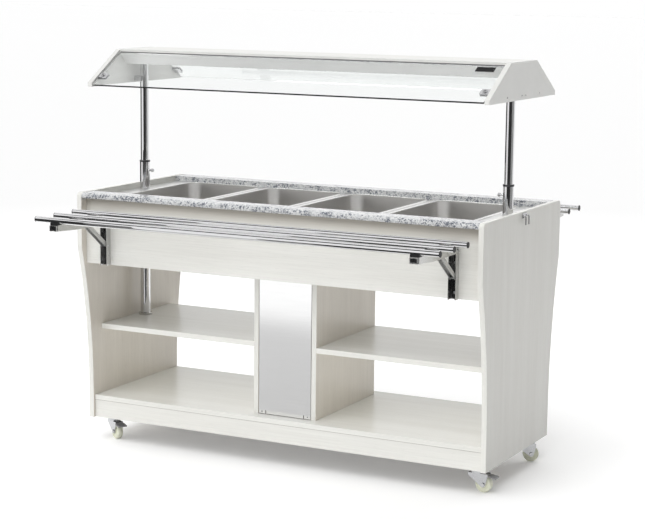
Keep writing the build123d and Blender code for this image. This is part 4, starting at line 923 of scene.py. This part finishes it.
def make_cards():
    """Dark cards round the object that draw the bands in its chrome and steel."""
    shifted = Matrix.Translation((1.86, 0.54, 0)) @ standing(16.2, 5.35, 0.0, CARD_HEIGHT)
    make_card("card_right", shifted, 9.7, CARD_HEIGHT)
    make_card("card_front", Matrix.Translation((2.1, -3.3, 0.004)), 4.0, 3.8, 0.05, True)
    make_card("card_side", standing(92, 4.6, 0.0, CARD_HEIGHT), 4.6, CARD_HEIGHT, 0.30)
    make_card("card_left", standing(-100, 4.6, 0.0, CARD_HEIGHT), 6.4, CARD_HEIGHT, 0.05)
    for name, left, right, low, high, grey in NEAR_CARDS:
        middle = Matrix.Translation(((left + right) / 2, 0, 0))
        place = middle @ standing(0, NEAR_DISTANCE, low, high - low)
        make_card(name, place, right - left, high - low, grey)
    make_card("card_floor", Matrix.Translation((-0.75, -1.6, 0.003)), 4.6, 1.8, 0.63, True)
    make_card("card_ceiling", Matrix.Translation((-1.4, -1.4, 3.6)), 2.6, 2.0, 0.05, True)


def make_world():
    """White where it is seen, itself or in a reflection.

    Its light is strong up to a third of the sky's height and dim overhead, strongest from the
    rear, weaker from the left, and fades out to the right.
    """
    world = bpy.data.worlds.new("studio")
    bpy.context.scene.world = world
    sky = Tree(world)
    way = sky.axes("Generated")
    overhead = sky.span(sky.times(sky.math("SUBTRACT", way[Z], 0.55), 4.0), 1.52, 0.12)
    rightward = sky.span(sky.times(way[X], 1.3), 1.0, 0.0)
    rearward = sky.span(way[Y], 1.0, 1.6)
    leftward = sky.span(sky.times(way[X], -1.0), 1.0, 0.65)
    light = sky.times(overhead, rightward, rearward, leftward)
    background = sky.tree.nodes["Background"]
    sky.feed(background.inputs["Color"], (1.0, 1.0, 1.0, 1.0))
    sky.feed(background.inputs["Strength"], sky.span(sky.seen_directly(), light, 1.0))


def make_sun(name, energy, angle, direction):
    """A broad soft light from above, which reflections don't show."""
    light = bpy.data.lights.new(name, "SUN")
    light.energy, light.angle = energy, math.radians(angle)
    sun = bpy.data.objects.new(name, light)
    sun.rotation_mode = "QUATERNION"
    sun.rotation_quaternion = Vector(direction).to_track_quat("-Z", "Y")
    sun.visible_glossy = False
    link(sun)


def make_camera():
    """The camera where the photo's one stood."""
    yaw, pitch, roll = (math.radians(angle) for angle in CAMERA_TURNS)
    ahead = Vector((-math.sin(yaw), math.cos(yaw), 0))
    right = Vector((math.cos(yaw), math.sin(yaw), 0))
    forward = ahead * math.cos(pitch) - UP * math.sin(pitch)
    lifted = UP * math.cos(pitch) + ahead * math.sin(pitch)
    across = right * math.cos(roll) + lifted * math.sin(roll)
    over = lifted * math.cos(roll) - right * math.sin(roll)
    data = bpy.data.cameras.new("camera")
    data.sensor_width = SENSOR
    data.lens = SENSOR * FOCAL_PIXELS / PHOTO_PIXELS
    data.clip_end = 200.0
    camera = bpy.data.objects.new("camera", data)
    camera.matrix_world = Matrix.Translation(CAMERA_PLACE) @ turned(across, over, -forward)
    link(camera)
    bpy.context.scene.camera = camera


dress_nodes()
add_panel_screws()
add_canopy_screws()
add_nameplate()
add_glass_seals()
add_pan_beads()
add_wall_screws()
add_pedal_ribs()
add_thermostat_marks()
add_rocker_marks()
make_floor()
make_cards()
make_world()
make_sun("key", 1.80, 55, SUN_WAY)
make_camera()

bpy.context.scene.view_settings.view_transform = "Standard"
